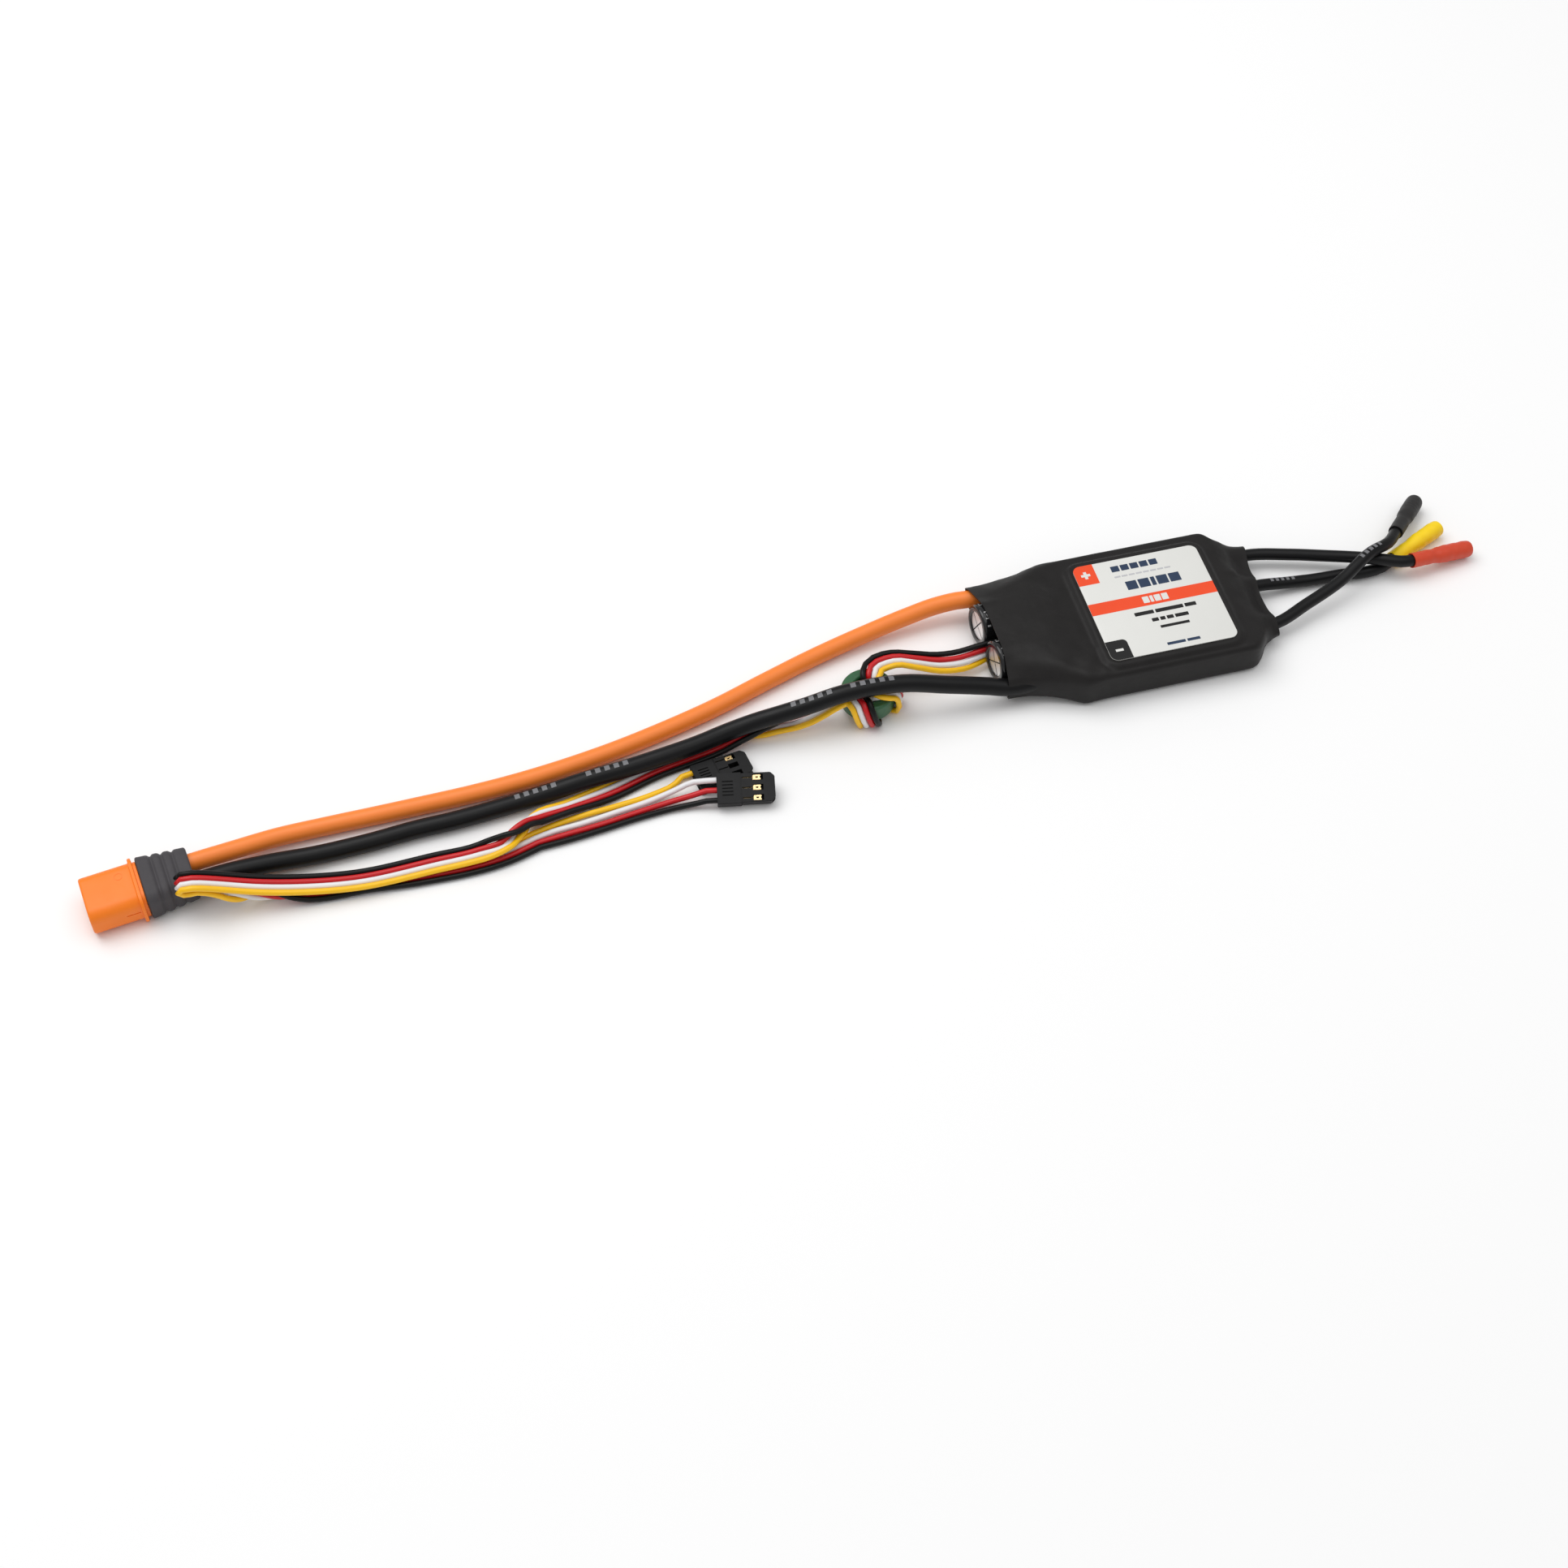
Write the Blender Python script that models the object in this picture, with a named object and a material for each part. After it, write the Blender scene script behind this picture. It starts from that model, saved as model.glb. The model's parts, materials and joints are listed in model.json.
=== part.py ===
"""Brushless electronic speed controller with its leads, plugs and interference ring.

Units are metres, +Z is up and the controller lies on its flat side at z = 0. +X runs from
the battery end to the motor end. The origin is under the middle of the controller's body.
"""
import math

import bmesh
import bpy
import numpy as np
from mathutils import Quaternion, Vector

MM = 0.001
GAP = 0.3 * MM

# Controller body
SLEEVE_WALL = 0.45 * MM
PLATE_RISE = 0.75 * MM
PLATE_START_X = -13.0 * MM
PLATE_END_X = 24.0 * MM
LABEL_SIZE = 33.2 * MM
LABEL_CENTRE = (5.5 * MM, -0.6 * MM)
LABEL_Z = 10.85 * MM
LABEL_THICKNESS = 0.15 * MM

# Stacked inner parts: height of each underside
LOGIC_BOARD_Z = 0.9 * MM
LOGIC_BOARD_THICKNESS = 0.9 * MM
POWER_BOARD_Z = 5.1 * MM
POWER_BOARD_THICKNESS = 1.4 * MM
MOSFET_HEIGHT = 0.9 * MM
THERMAL_PAD_Z = 8.0 * MM
THERMAL_PAD_THICKNESS = 0.5 * MM
COOLING_PLATE_Z = 8.8 * MM
COOLING_PLATE_THICKNESS = 1.0 * MM
LOGIC_TOP = LOGIC_BOARD_Z + LOGIC_BOARD_THICKNESS + GAP
POWER_TOP = POWER_BOARD_Z + POWER_BOARD_THICKNESS + GAP

# Capacitors
CAPACITOR_LENGTH = 15.0 * MM
CAPACITOR_RADIUS = 5.35 * MM
CAPACITOR_LIP_RADIUS = 3.75 * MM
CAPACITOR_SKIN = 0.25 * MM
CAPACITOR_YAW = math.radians(6.0)
CAPACITOR_PITCH = math.radians(3.5)
CAPACITOR_PIN_DIAMETER = 0.6 * MM
CAPACITOR_PIN_OFFSET = 1.25 * MM
CAPACITOR_FACES = {
    "far": (-0.0382, 0.0065, 0.0070),
    "near": (-0.0375, -0.0067, 0.0069),
}

# Leads
POWER_LEAD_DIAMETER = 4.5 * MM
MOTOR_LEAD_DIAMETER = 3.1 * MM
SIGNAL_WIRE_DIAMETER = 1.3 * MM
SIGNAL_WIRE_PITCH = 1.5 * MM
TWIST_STEP = math.radians(42)

# Battery connector, in its own frame: +X towards the controller, origin under the flange
CONNECTOR_ORIGIN = (-0.251, -0.0206, 0.0)
CONNECTOR_YAW = math.radians(8.0)
CONNECTOR_AXIS_Z = 4.5 * MM
CONTACT_OFFSET = 2.9 * MM
CONTACT_RADIUS = 1.9 * MM
CONTACT_BORE_RADIUS = 2.2 * MM
LEAD_BORE_RADIUS = 2.55 * MM
SHELL_SIZE = (12.0 * MM, 12.6 * MM, 7.6 * MM)
FLANGE_SIZE = (1.6 * MM, 14.8 * MM, 9.0 * MM)
CAP_START_X = 1.9 * MM
CAP_END_X = 13.2 * MM

# Motor plugs
SOCKET_RADIUS = 1.75 * MM
SOCKET_BORE_RADIUS = 1.2 * MM
SOCKET_START = 8.0 * MM
INSULATOR_NECK_RADIUS = 1.95 * MM
INSULATOR_BODY_RADIUS = 2.25 * MM
INSULATOR_NECK_LENGTH = 7.5 * MM
INSULATOR_WALL = 0.25 * MM

# Interference ring
RING_CENTRE = (-0.0707, -0.0069)
RING_OUTER_RADIUS = 6.8 * MM
RING_INNER_RADIUS = 4.0 * MM
RING_BOTTOM_Z = 1.85 * MM
RING_HEIGHT = 5.0 * MM
RING_CHAMFER = 0.8 * MM

# Receiver plugs
PLUG_SIZE = (14.0 * MM, 7.8 * MM, 2.6 * MM)
PLUG_CHANNEL = (1.9 * MM, 1.7 * MM)
PLUG_PITCH = 2.54 * MM
PLUG_CONTACT_SIZE = (8.0 * MM, 1.3 * MM, 1.1 * MM)

# Routes of the leads, from the controller outwards
POSITIVE_ROUTE = [
    (-0.0198, 0.0154, 0.0078), (-0.0240, 0.0155, 0.0082), (-0.0300, 0.0152, 0.0073),
    (-0.0365, 0.0151, 0.0065), (-0.0410, 0.0158, 0.0061), (-0.0469, 0.0160, 0.0054),
    (-0.0535, 0.0153, 0.0046), (-0.0670, 0.0130, 0.0032), (-0.0806, 0.0096, 0.0025),
    (-0.0944, 0.0050, 0.0024), (-0.1081, 0.0002, 0.0024), (-0.1213, -0.0035, 0.0024),
    (-0.1341, -0.0065, 0.0024), (-0.1467, -0.0087, 0.0024), (-0.1590, -0.0102, 0.0024),
    (-0.1710, -0.0110, 0.0024), (-0.1829, -0.0113, 0.0024), (-0.1947, -0.0115, 0.0024),
    (-0.2063, -0.0117, 0.0025), (-0.2179, -0.0124, 0.0030), (-0.2280, -0.0142, 0.0039),
    (-0.2375, -0.01578, 0.0045), (-0.2425, -0.01648, 0.0045), (-0.2471, -0.01713, 0.0045),
]
NEGATIVE_ROUTE = [
    (-0.0198, -0.0143, 0.0076), (-0.0240, -0.0143, 0.0066), (-0.0300, -0.0144, 0.0056),
    (-0.0366, -0.0142, 0.0053), (-0.0412, -0.0134, 0.0062), (-0.0523, -0.0122, 0.0088),
    (-0.0631, -0.0109, 0.0111), (-0.0725, -0.0107, 0.0118), (-0.0800, -0.0105, 0.0110),
    (-0.0866, -0.0105, 0.0095), (-0.0932, -0.0102, 0.0080), (-0.1005, -0.0100, 0.0066),
    (-0.1076, -0.0106, 0.0056), (-0.1150, -0.0120, 0.0051), (-0.1234, -0.0132, 0.0048),
    (-0.1324, -0.0142, 0.0044), (-0.1435, -0.0149, 0.0038), (-0.1544, -0.0158, 0.0028),
    (-0.1654, -0.0168, 0.0024), (-0.1761, -0.0177, 0.0024), (-0.1850, -0.0180, 0.0024),
    (-0.1968, -0.0190, 0.0024), (-0.2092, -0.0196, 0.0026), (-0.2212, -0.0198, 0.0034),
    (-0.2300, -0.0206, 0.0042), (-0.23675, -0.02152, 0.0045), (-0.2417, -0.02222, 0.0045),
    (-0.24635, -0.02287, 0.0045),
]
MOTOR_ROUTES = {
    "a": [
        (0.0298, 0.0128, 0.0042), (0.0365, 0.0136, 0.0040), (0.0476, 0.0111, 0.0040),
        (0.0562, 0.0084, 0.0040), (0.0646, 0.0050, 0.0046), (0.0700, 0.0020, 0.0054),
        (0.0740, 0.0003, 0.0054),
    ],
    "b": [
        (0.0298, 0.0024, 0.0042), (0.0354, 0.0030, 0.0039), (0.0446, 0.0031, 0.0026),
        (0.0520, 0.0029, 0.0020), (0.0592, 0.0027, 0.0019), (0.0660, 0.0020, 0.0019),
        (0.0705, 0.0026, 0.0019),
    ],
    "c": [
        (0.0298, -0.0108, 0.0042), (0.0361, -0.0102, 0.0041), (0.0450, -0.0068, 0.0046),
        (0.0561, -0.0025, 0.0060), (0.0665, 0.0030, 0.0083), (0.0723, 0.0056, 0.0073),
    ],
}
# Each motor plug: where its insulator starts and where it ends
MOTOR_PLUGS = {
    "a": ((0.0770, 0.0002, 0.0050), (0.0946, 0.0025, 0.0024)),
    "b": ((0.0740, 0.0042, 0.0023), (0.0899, 0.0114, 0.0024)),
    "c": ((0.0766, 0.0098, 0.0058), (0.0880, 0.0218, 0.0024)),
}
INSULATOR_NAMES = {"a": "insulator_red", "b": "insulator_yellow", "c": "insulator_black"}

# The signal ribbon: a point on its middle line, the direction across it towards the yellow
# wire, and how far its outer wires are folded over the inner ones (0 flat, 1 a square).
RIBBON_TO_RING = [
    ((-0.0115, 0.0017, 0.0030), (0.0, -1.0, 0.0), 0.0),
    ((-0.0165, 0.0017, 0.0031), (0.0, -1.0, 0.0), 0.0),
    ((-0.0195, 0.0017, 0.0036), (0.0, -0.8, -0.5), 0.5),
    ((-0.0225, 0.0016, 0.0043), (0.0, -0.25, -1.0), 0.5),
    ((-0.0265, 0.0011, 0.0043), (0.0, 0.0, -1.0), 0.0),
    ((-0.0350, 0.0001, 0.0042), (0.0, 0.0, -1.0), 0.0),
    ((-0.0395, -0.0010, 0.0043), (0.1, -0.6, -1.35), 0.0),
    ((-0.0450, -0.0020, 0.0043), (0.0, -1.2, -0.9), 0.0),
    ((-0.0510, -0.0014, 0.0050), (0.1, -1.42, -0.5), 0.0),
    ((-0.0570, -0.0002, 0.0068), (0.1, -1.0, -0.1), 0.0),
    ((-0.0625, 0.0002, 0.0082), (0.45, -0.9, 0.0), 0.0),
]
# Turns round the ring: radius, angle (degrees), height, fold; the ribbon's yellow edge
# always leads clockwise.
RIBBON_TURNS = [
    (6.0, 62.0, 7.9, 0.0),
    (4.5, 62.5, 8.0, 0.1),
    (3.0, 61.0, 7.6, 0.4),
    (2.15, 45.0, 5.6, 1.0),
    (2.15, 40.0, 3.9, 1.0),
    (2.5, 30.0, 2.3, 0.65),
    (3.3, 18.0, 1.6, 0.3),
    (4.7, 0.0, 1.1, 0.0),
    (7.0, -14.0, 1.1, 0.0),
    (7.75, -19.0, 2.1, 0.0),
    (7.75, -22.0, 4.3, 0.0),
    (7.65, -24.0, 6.5, 0.0),
    (6.9, -26.0, 7.65, 0.0),
    (5.6, -32.0, 7.9, 0.0),
    (4.3, -48.0, 8.0, 0.3),
    (2.9, -70.0, 7.4, 0.8),
    (2.15, -94.0, 5.6, 1.0),
    (2.15, -100.0, 3.8, 1.0),
    (2.5, -102.0, 2.2, 0.75),
    (3.3, -102.0, 1.5, 0.4),
    (4.7, -101.0, 1.0, 0.0),
    (7.0, -100.0, 1.1, 0.0),
    (7.75, -103.0, 2.1, 0.0),
    (7.75, -108.0, 4.3, 0.0),
    (7.65, -114.0, 6.5, 0.0),
    (6.9, -120.0, 7.65, 0.0),
    (5.8, -131.0, 7.85, 0.0),
]
RIBBON_TO_CONNECTOR = [
    ((-0.0756, -0.0092, 0.0079), (-0.8, -0.6, 0.0), 0.0),
    ((-0.0790, -0.0086, 0.0072), (0.0, -1.0, -0.1), 0.0),
    ((-0.0830, -0.0090, 0.0052), (0.0, -1.0, 0.0), 0.0),
    ((-0.0890, -0.0092, 0.0034), (0.0, -0.8, -0.6), 0.4),
    ((-0.0960, -0.0095, 0.0026), (0.0, -0.2, -1.0), 0.8),
    ((-0.1030, -0.0102, 0.0026), (0.0, 0.8, -0.6), 0.4),
    ((-0.1100, -0.0108, 0.0014), (0.0, 1.0, 0.0), 0.0),
    ((-0.1268, -0.0140, 0.0010), (0.0, 1.0, 0.0), 0.0),
    ((-0.1387, -0.0176, 0.0010), (0.0, 1.0, 0.0), 0.0),
    ((-0.1493, -0.0204, 0.0020), (0.0, 0.92, -0.38), 0.0),
    ((-0.1573, -0.0226, 0.0032), (0.0, 0.9, -0.4), 0.3),
    ((-0.1616, -0.0256, 0.0040), (0.0, 0.1, -1.0), 0.9),
    ((-0.1656, -0.0283, 0.0040), (0.0, -0.9, -0.4), 0.6),
    ((-0.1718, -0.0291, 0.0033), (0.0, -1.0, 0.0), 0.0),
    ((-0.1826, -0.0292, 0.0029), (0.0, -1.0, 0.0), 0.0),
    ((-0.2015, -0.0296, 0.0031), (0.0, -1.0, 0.0), 0.0),
    ((-0.2145, -0.0285, 0.0045), (0.0, -1.0, 0.0), 0.0),
    ((-0.2246, -0.0273, 0.0066), (0.0, -1.0, 0.0), 0.0),
    ((-0.2302, -0.0266, 0.0084), (0.0, -1.0, 0.0), 0.0),
    ((-0.2343, -0.0263, 0.0100), (0.0, -1.0, 0.0), 0.0),
    ((-0.2378, -0.0261, 0.0111), (0.0, -1.0, 0.0), 0.0),
    ((-0.2402, -0.0260, 0.0112), (0.0, -1.0, 0.0), 0.0),
    ((-0.2412, -0.0260, 0.0103), (0.0, -1.0, 0.0), 0.0),
    ((-0.2402, -0.0260, 0.0093), (0.0, -1.0, 0.0), 0.0),
]
RIBBON_BACK = [
    ((-0.2370, -0.0260, 0.0091), (0.0, -1.0, 0.0), 0.0),
    ((-0.2330, -0.0264, 0.0072), (0.0, -1.0, 0.0), 0.0),
    ((-0.2285, -0.0270, 0.0050), (0.0, -0.85, -0.5), 0.4),
    ((-0.2235, -0.0276, 0.0032), (0.0, 0.0, -1.0), 0.9),
    ((-0.2185, -0.0283, 0.0021), (0.0, 0.85, -0.5), 0.4),
    ((-0.2125, -0.0290, 0.0011), (0.0, 1.0, 0.0), 0.0),
    ((-0.1985, -0.0296, 0.0010), (0.0, 1.0, 0.0), 0.0),
    ((-0.1864, -0.0304, 0.0010), (0.0, 1.0, 0.0), 0.0),
    ((-0.1657, -0.0296, 0.0010), (0.0, 1.0, 0.0), 0.0),
    ((-0.1583, -0.0275, 0.0010), (0.0, 1.0, 0.0), 0.0),
]
# The four wires part before the receiver plugs.
TAILS = {
    "yellow": [
        (-0.1540, -0.0242, 0.0010), (-0.1468, -0.0231, 0.0010), (-0.1378, -0.0223, 0.0010),
        (-0.1286, -0.0211, 0.0010), (-0.1225, -0.0193, 0.0011),
    ],
    "white": [
        (-0.1540, -0.0259, 0.0010), (-0.1473, -0.0254, 0.0010), (-0.1381, -0.0241, 0.0010),
        (-0.1300, -0.0229, 0.0010), (-0.1240, -0.0221, 0.0019), (-0.1185, -0.0218, 0.0035),
    ],
    "red": [
        (-0.1530, -0.0277, 0.0010), (-0.1422, -0.0267, 0.0010), (-0.1331, -0.0254, 0.0010),
        (-0.1240, -0.0246, 0.0015), (-0.1190, -0.0249, 0.0026),
    ],
    "black": [
        (-0.1516, -0.0293, 0.0010), (-0.1424, -0.0283, 0.0010), (-0.1333, -0.0271, 0.0010),
        (-0.1239, -0.0265, 0.0011), (-0.1190, -0.0269, 0.0017),
    ],
}
WIRE_ORDER = ["black", "red", "white", "yellow"]

# Receiver plugs: centre, yaw and roll, and the wire in each used channel
PLUGS = {
    "1": ((-0.1107, -0.01885, 0.00135), 9.0, 0.0, {"yellow": 1}),
    "2": ((-0.1068, -0.0268, 0.00325), -15.0, 23.0, {"white": 1, "red": 0, "black": -1}),
}

# Colour, roughness and metallic value of each finish
FINISHES = {
    "sleeve_black": ((0.030, 0.029, 0.029), 0.50, 0.0),
    "label_white": ((0.80, 0.80, 0.77), 0.35, 0.0),
    "aluminium": ((0.80, 0.80, 0.80), 0.30, 1.0),
    "pad_grey": ((0.35, 0.36, 0.38), 0.90, 0.0),
    "board_green": ((0.03, 0.16, 0.07), 0.55, 0.0),
    "chip_black": ((0.02, 0.02, 0.02), 0.45, 0.0),
    "tinned": ((0.62, 0.62, 0.60), 0.35, 1.0),
    "rubber_black": ((0.015, 0.015, 0.015), 0.80, 0.0),
    "film_black": ((0.015, 0.015, 0.017), 0.25, 0.0),
    "silicone_orange": ((1.0, 0.26, 0.035), 0.45, 0.0),
    "silicone_black": ((0.012, 0.012, 0.012), 0.40, 0.0),
    "shell_orange": ((1.0, 0.23, 0.02), 0.35, 0.0),
    "cap_grey": ((0.085, 0.080, 0.085), 0.60, 0.0),
    "gold": ((0.95, 0.72, 0.38), 0.25, 1.0),
    "ferrite_green": ((0.030, 0.130, 0.045), 0.50, 0.0),
    "wire_black": ((0.012, 0.012, 0.012), 0.40, 0.0),
    "wire_red": ((0.58, 0.003, 0.007), 0.40, 0.0),
    "wire_white": ((0.80, 0.80, 0.80), 0.40, 0.0),
    "wire_yellow": ((0.87, 0.45, 0.0), 0.40, 0.0),
    "shrink_red": ((0.68, 0.06, 0.03), 0.45, 0.0),
    "shrink_yellow": ((0.95, 0.64, 0.012), 0.45, 0.0),
    "shrink_black": ((0.018, 0.018, 0.020), 0.45, 0.0),
}


def clear_scene():
    for scene_object in list(bpy.data.objects):
        bpy.data.objects.remove(scene_object, do_unlink=True)


def finish(name):
    """The named finish as a Principled material, made on first use."""
    material = bpy.data.materials.get(name)
    if material:
        return material
    colour, roughness, metallic = FINISHES[name]
    material = bpy.data.materials.new(name)
    material.use_nodes = True
    shader = material.node_tree.nodes["Principled BSDF"]
    shader.inputs["Base Color"].default_value = (*colour, 1.0)
    shader.inputs["Roughness"].default_value = roughness
    shader.inputs["Metallic"].default_value = metallic
    return material


def place(name, data, finish_name, parent=None, location=(0, 0, 0), rotation=(0, 0, 0)):
    """Put mesh or curve data in the scene as one named object."""
    data.materials.append(finish(finish_name))
    piece = bpy.data.objects.new(name, data)
    bpy.context.collection.objects.link(piece)
    piece.location = location
    piece.rotation_euler = rotation
    piece.parent = parent
    return piece


def frame_at(name, location, rotation):
    """An empty that holds the pieces of one sub-assembly."""
    empty = bpy.data.objects.new(name, None)
    bpy.context.collection.objects.link(empty)
    empty.location = location
    empty.rotation_mode = "QUATERNION"
    empty.rotation_quaternion = rotation
    return empty


def mesh_from(bm, name, smooth_angle=None):
    """Turn a bmesh into a mesh, with faces out and round parts shaded smooth."""
    bmesh.ops.recalc_face_normals(bm, faces=bm.faces)
    mesh = bpy.data.meshes.new(name)
    bm.to_mesh(mesh)
    bm.free()
    if smooth_angle is not None:
        mesh.shade_smooth()
        mesh.set_sharp_from_angle(angle=math.radians(smooth_angle))
    return mesh


def box_mesh(name, size, bevel=0.0):
    bm = bmesh.new()
    bmesh.ops.create_cube(bm, size=1.0)
    bmesh.ops.scale(bm, vec=size, verts=bm.verts)
    if bevel:
        bmesh.ops.bevel(bm, geom=list(bm.edges), offset=bevel, segments=1, affect="EDGES")
    return mesh_from(bm, name)


def box(name, size, centre, finish_name, bevel=0.0, parent=None):
    return place(name, box_mesh(name, size, bevel), finish_name, parent, centre)


def turned_mesh(name, profile, segments, axis=(1, 0, 0)):
    """Spin (radius, along) points about an axis: X for barrels, Z for rings. The profile is
    closed unless it starts and ends on the axis."""
    bm = bmesh.new()
    along_x = axis[0] == 1
    verts = []
    for radius, along in profile:
        point = (along, 0.0, radius) if along_x else (radius, 0.0, along)
        verts.append(bm.verts.new(point))
    edges = [bm.edges.new(pair) for pair in zip(verts, verts[1:])]
    if profile[0][0] > 0:
        edges.append(bm.edges.new((verts[-1], verts[0])))
    bmesh.ops.spin(bm, geom=verts + edges, cent=(0, 0, 0), axis=axis,
                   angle=2 * math.pi, steps=segments, use_merge=True)
    bmesh.ops.remove_doubles(bm, verts=bm.verts, dist=1e-6)
    return mesh_from(bm, name, smooth_angle=40)


def turned(name, profile, segments, finish_name, parent=None, location=(0, 0, 0),
           axis=(1, 0, 0)):
    mesh = turned_mesh(name, profile, segments, axis)
    return place(name, mesh, finish_name, parent, location)


def lofted_mesh(name, rings, joined=False):
    """Skin rings of equal point counts; either cap the ends or join last to first."""
    bm = bmesh.new()
    rows = [[bm.verts.new(point) for point in ring] for ring in rings]
    pairs = list(zip(rows, rows[1:]))
    if joined:
        pairs.append((rows[-1], rows[0]))
    for row, following in pairs:
        for i in range(len(row)):
            j = (i + 1) % len(row)
            bm.faces.new((row[i], row[j], following[j], following[i]))
    if not joined:
        bm.faces.new(rows[0])
        bm.faces.new(rows[-1])
    return mesh_from(bm, name, smooth_angle=35)


def arc(centre, radius, start, end, steps):
    """Points (y, z) on an arc, angles in degrees from +Y towards +Z."""
    points = []
    for angle in np.radians(np.linspace(start, end, steps + 1)):
        points.append((centre[0] + radius * math.cos(angle),
                       centre[1] + radius * math.sin(angle)))
    return points


def rounded_rectangle(x, width, bottom, top, radius, steps=3):
    """One ring of a loft along X, centred on y = 0."""
    y = width / 2 - radius
    outline = arc((y, bottom + radius), radius, -90, 0, steps)
    outline += arc((y, top - radius), radius, 0, 90, steps)
    outline += arc((-y, top - radius), radius, 90, 180, steps)
    outline += arc((-y, bottom + radius), radius, 180, 270, steps)
    return [(x, py, pz) for py, pz in outline]


def smooth_route(points, spacing, least=None):
    """Read points off a smooth curve through the given ones, at about the given spacing and
    with at least so many steps in each stretch."""
    points = np.array(points, float)
    steps = np.linalg.norm(np.diff(points[:, :3], axis=0), axis=1)
    slopes = np.diff(points, axis=0) / steps[:, None]
    tangents = np.empty_like(points)
    tangents[0] = slopes[0]
    tangents[-1] = slopes[-1]
    weights = (steps[:-1] / (steps[:-1] + steps[1:]))[:, None]
    tangents[1:-1] = slopes[1:] * weights + slopes[:-1] * (1 - weights)
    route = [points[0]]
    for i, length in enumerate(steps):
        count = max(1, round(length / spacing), least[i] if least else 1)
        for t in np.arange(1, count + 1) / count:
            route.append(
                points[i] * (2 * t**3 - 3 * t**2 + 1)
                + tangents[i] * length * (t**3 - 2 * t**2 + t)
                + points[i + 1] * (3 * t**2 - 2 * t**3)
                + tangents[i + 1] * length * (t**3 - t**2)
            )
    return np.array(route)


def cord(name, points, diameter, finish_name, sides_level):
    """A round lead along a list of points."""
    curve = bpy.data.curves.new(name, "CURVE")
    curve.dimensions = "3D"
    curve.bevel_depth = diameter / 2
    curve.bevel_resolution = sides_level
    curve.use_fill_caps = True
    spline = curve.splines.new("POLY")
    spline.points.add(len(points) - 1)
    for target, point in zip(spline.points, points):
        target.co = (*(float(value) for value in point), 1.0)
    return place(name, curve, finish_name)


def cut(piece, cutter):
    """Take the cutter's shape out of a piece."""
    cutter.hide_render = True
    cutter.display_type = "WIRE"
    modifier = piece.modifiers.new(f"cut_{cutter.name}", "BOOLEAN")
    modifier.operation = "DIFFERENCE"
    modifier.object = cutter
    modifier.solver = "EXACT"


# ---------------------------------------------------------------- sleeve and label

# Stations of the sleeve, in millimetres: position, near side, far side, underside, top
# beside the plate, top corner radius, bottom corner radius, plate (1 raised), end of
# sleeve (1 at the battery end, 2 at the motor end)
SLEEVE_STATIONS = [
    (-37.2, -17.4, 18.1, 0.6, 12.8, 4.6, 3.0, 0, 1),
    (-33.5, -17.5, 18.2, 0.1, 13.0, 4.6, 3.0, 0, 0),
    (-28.0, -17.6, 18.4, 0.0, 12.7, 4.4, 2.6, 0, 0),
    (-24.0, -18.0, 18.8, 0.0, 12.4, 3.8, 2.4, 0, 0),
    (-20.5, -19.6, 19.7, 0.0, 11.6, 2.8, 2.2, 0, 0),
    (-17.5, -20.6, 20.5, 0.0, 10.6, 2.0, 2.0, 0, 0),
    (-14.5, -20.7, 20.7, 0.0, 9.90, 1.3, 2.0, 0, 0),
    (PLATE_START_X / MM, -20.7, 20.7, 0.0, 9.85, 1.2, 2.0, 0, 0),
    (PLATE_START_X / MM + 0.8, -20.7, 20.7, 0.0, 9.85, 1.2, 2.0, 1, 0),
    (PLATE_END_X / MM - 0.8, -20.7, 20.7, 0.0, 9.85, 1.2, 2.0, 1, 0),
    (PLATE_END_X / MM, -20.7, 20.6, 0.0, 9.85, 1.2, 2.0, 0, 0),
    (26.5, -20.6, 20.1, 0.0, 9.6, 1.6, 2.0, 0, 0),
    (28.5, -20.2, 18.8, 0.2, 9.0, 2.0, 2.0, 0, 0),
    (30.3, -19.0, 17.5, 0.6, 8.2, 2.2, 2.0, 0, 0),
    (31.6, -16.4, 17.0, 1.0, 7.4, 2.2, 1.9, 0, 0),
    (33.0, -14.8, 16.8, 1.3, 6.9, 2.2, 1.9, 0, 0),
    (35.0, -14.2, 16.5, 1.5, 6.5, 2.1, 1.9, 0, 0),
    (37.1, -13.7, 16.1, 1.5, 6.3, 2.1, 1.9, 0, 2),
]
# Where the plate's rim and foot stand, as shares of the flat top's half width
PLATE_STEPS_FAR = [(0.933, 0.0), (0.900, 1.0), (0.45, 1.0)]
PLATE_STEPS_NEAR = [(0.45, 1.0), (0.960, 1.0), (0.990, 0.0)]


def sleeve_section(station, inset):
    """The sleeve's outline at one station as (y, z) points, drawn in by the inset."""
    _, near, far, bottom, top, top_radius, bottom_radius, plate, _ = station
    near = near * MM + inset
    far = far * MM - inset
    bottom = bottom * MM + inset
    top = top * MM - inset
    top_radius = top_radius * MM - inset
    bottom_radius = bottom_radius * MM - inset
    outline = arc((far - bottom_radius, bottom + bottom_radius), bottom_radius, -90, 0, 3)
    flat_far = far - top_radius
    flat_near = near + top_radius
    outline += arc((flat_far, top - top_radius), top_radius, 0, 90, 4)
    for share, rise in PLATE_STEPS_FAR:
        outline.append((flat_far * share, top + PLATE_RISE * rise * plate))
    outline.append(((flat_far + flat_near) / 2, top + PLATE_RISE * plate))
    for share, rise in PLATE_STEPS_NEAR:
        outline.append((flat_near * share, top + PLATE_RISE * rise * plate))
    outline += arc((flat_near, top - top_radius), top_radius, 90, 180, 4)
    outline += arc((near + bottom_radius, bottom + bottom_radius), bottom_radius, 180, 270, 3)
    return outline


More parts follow.
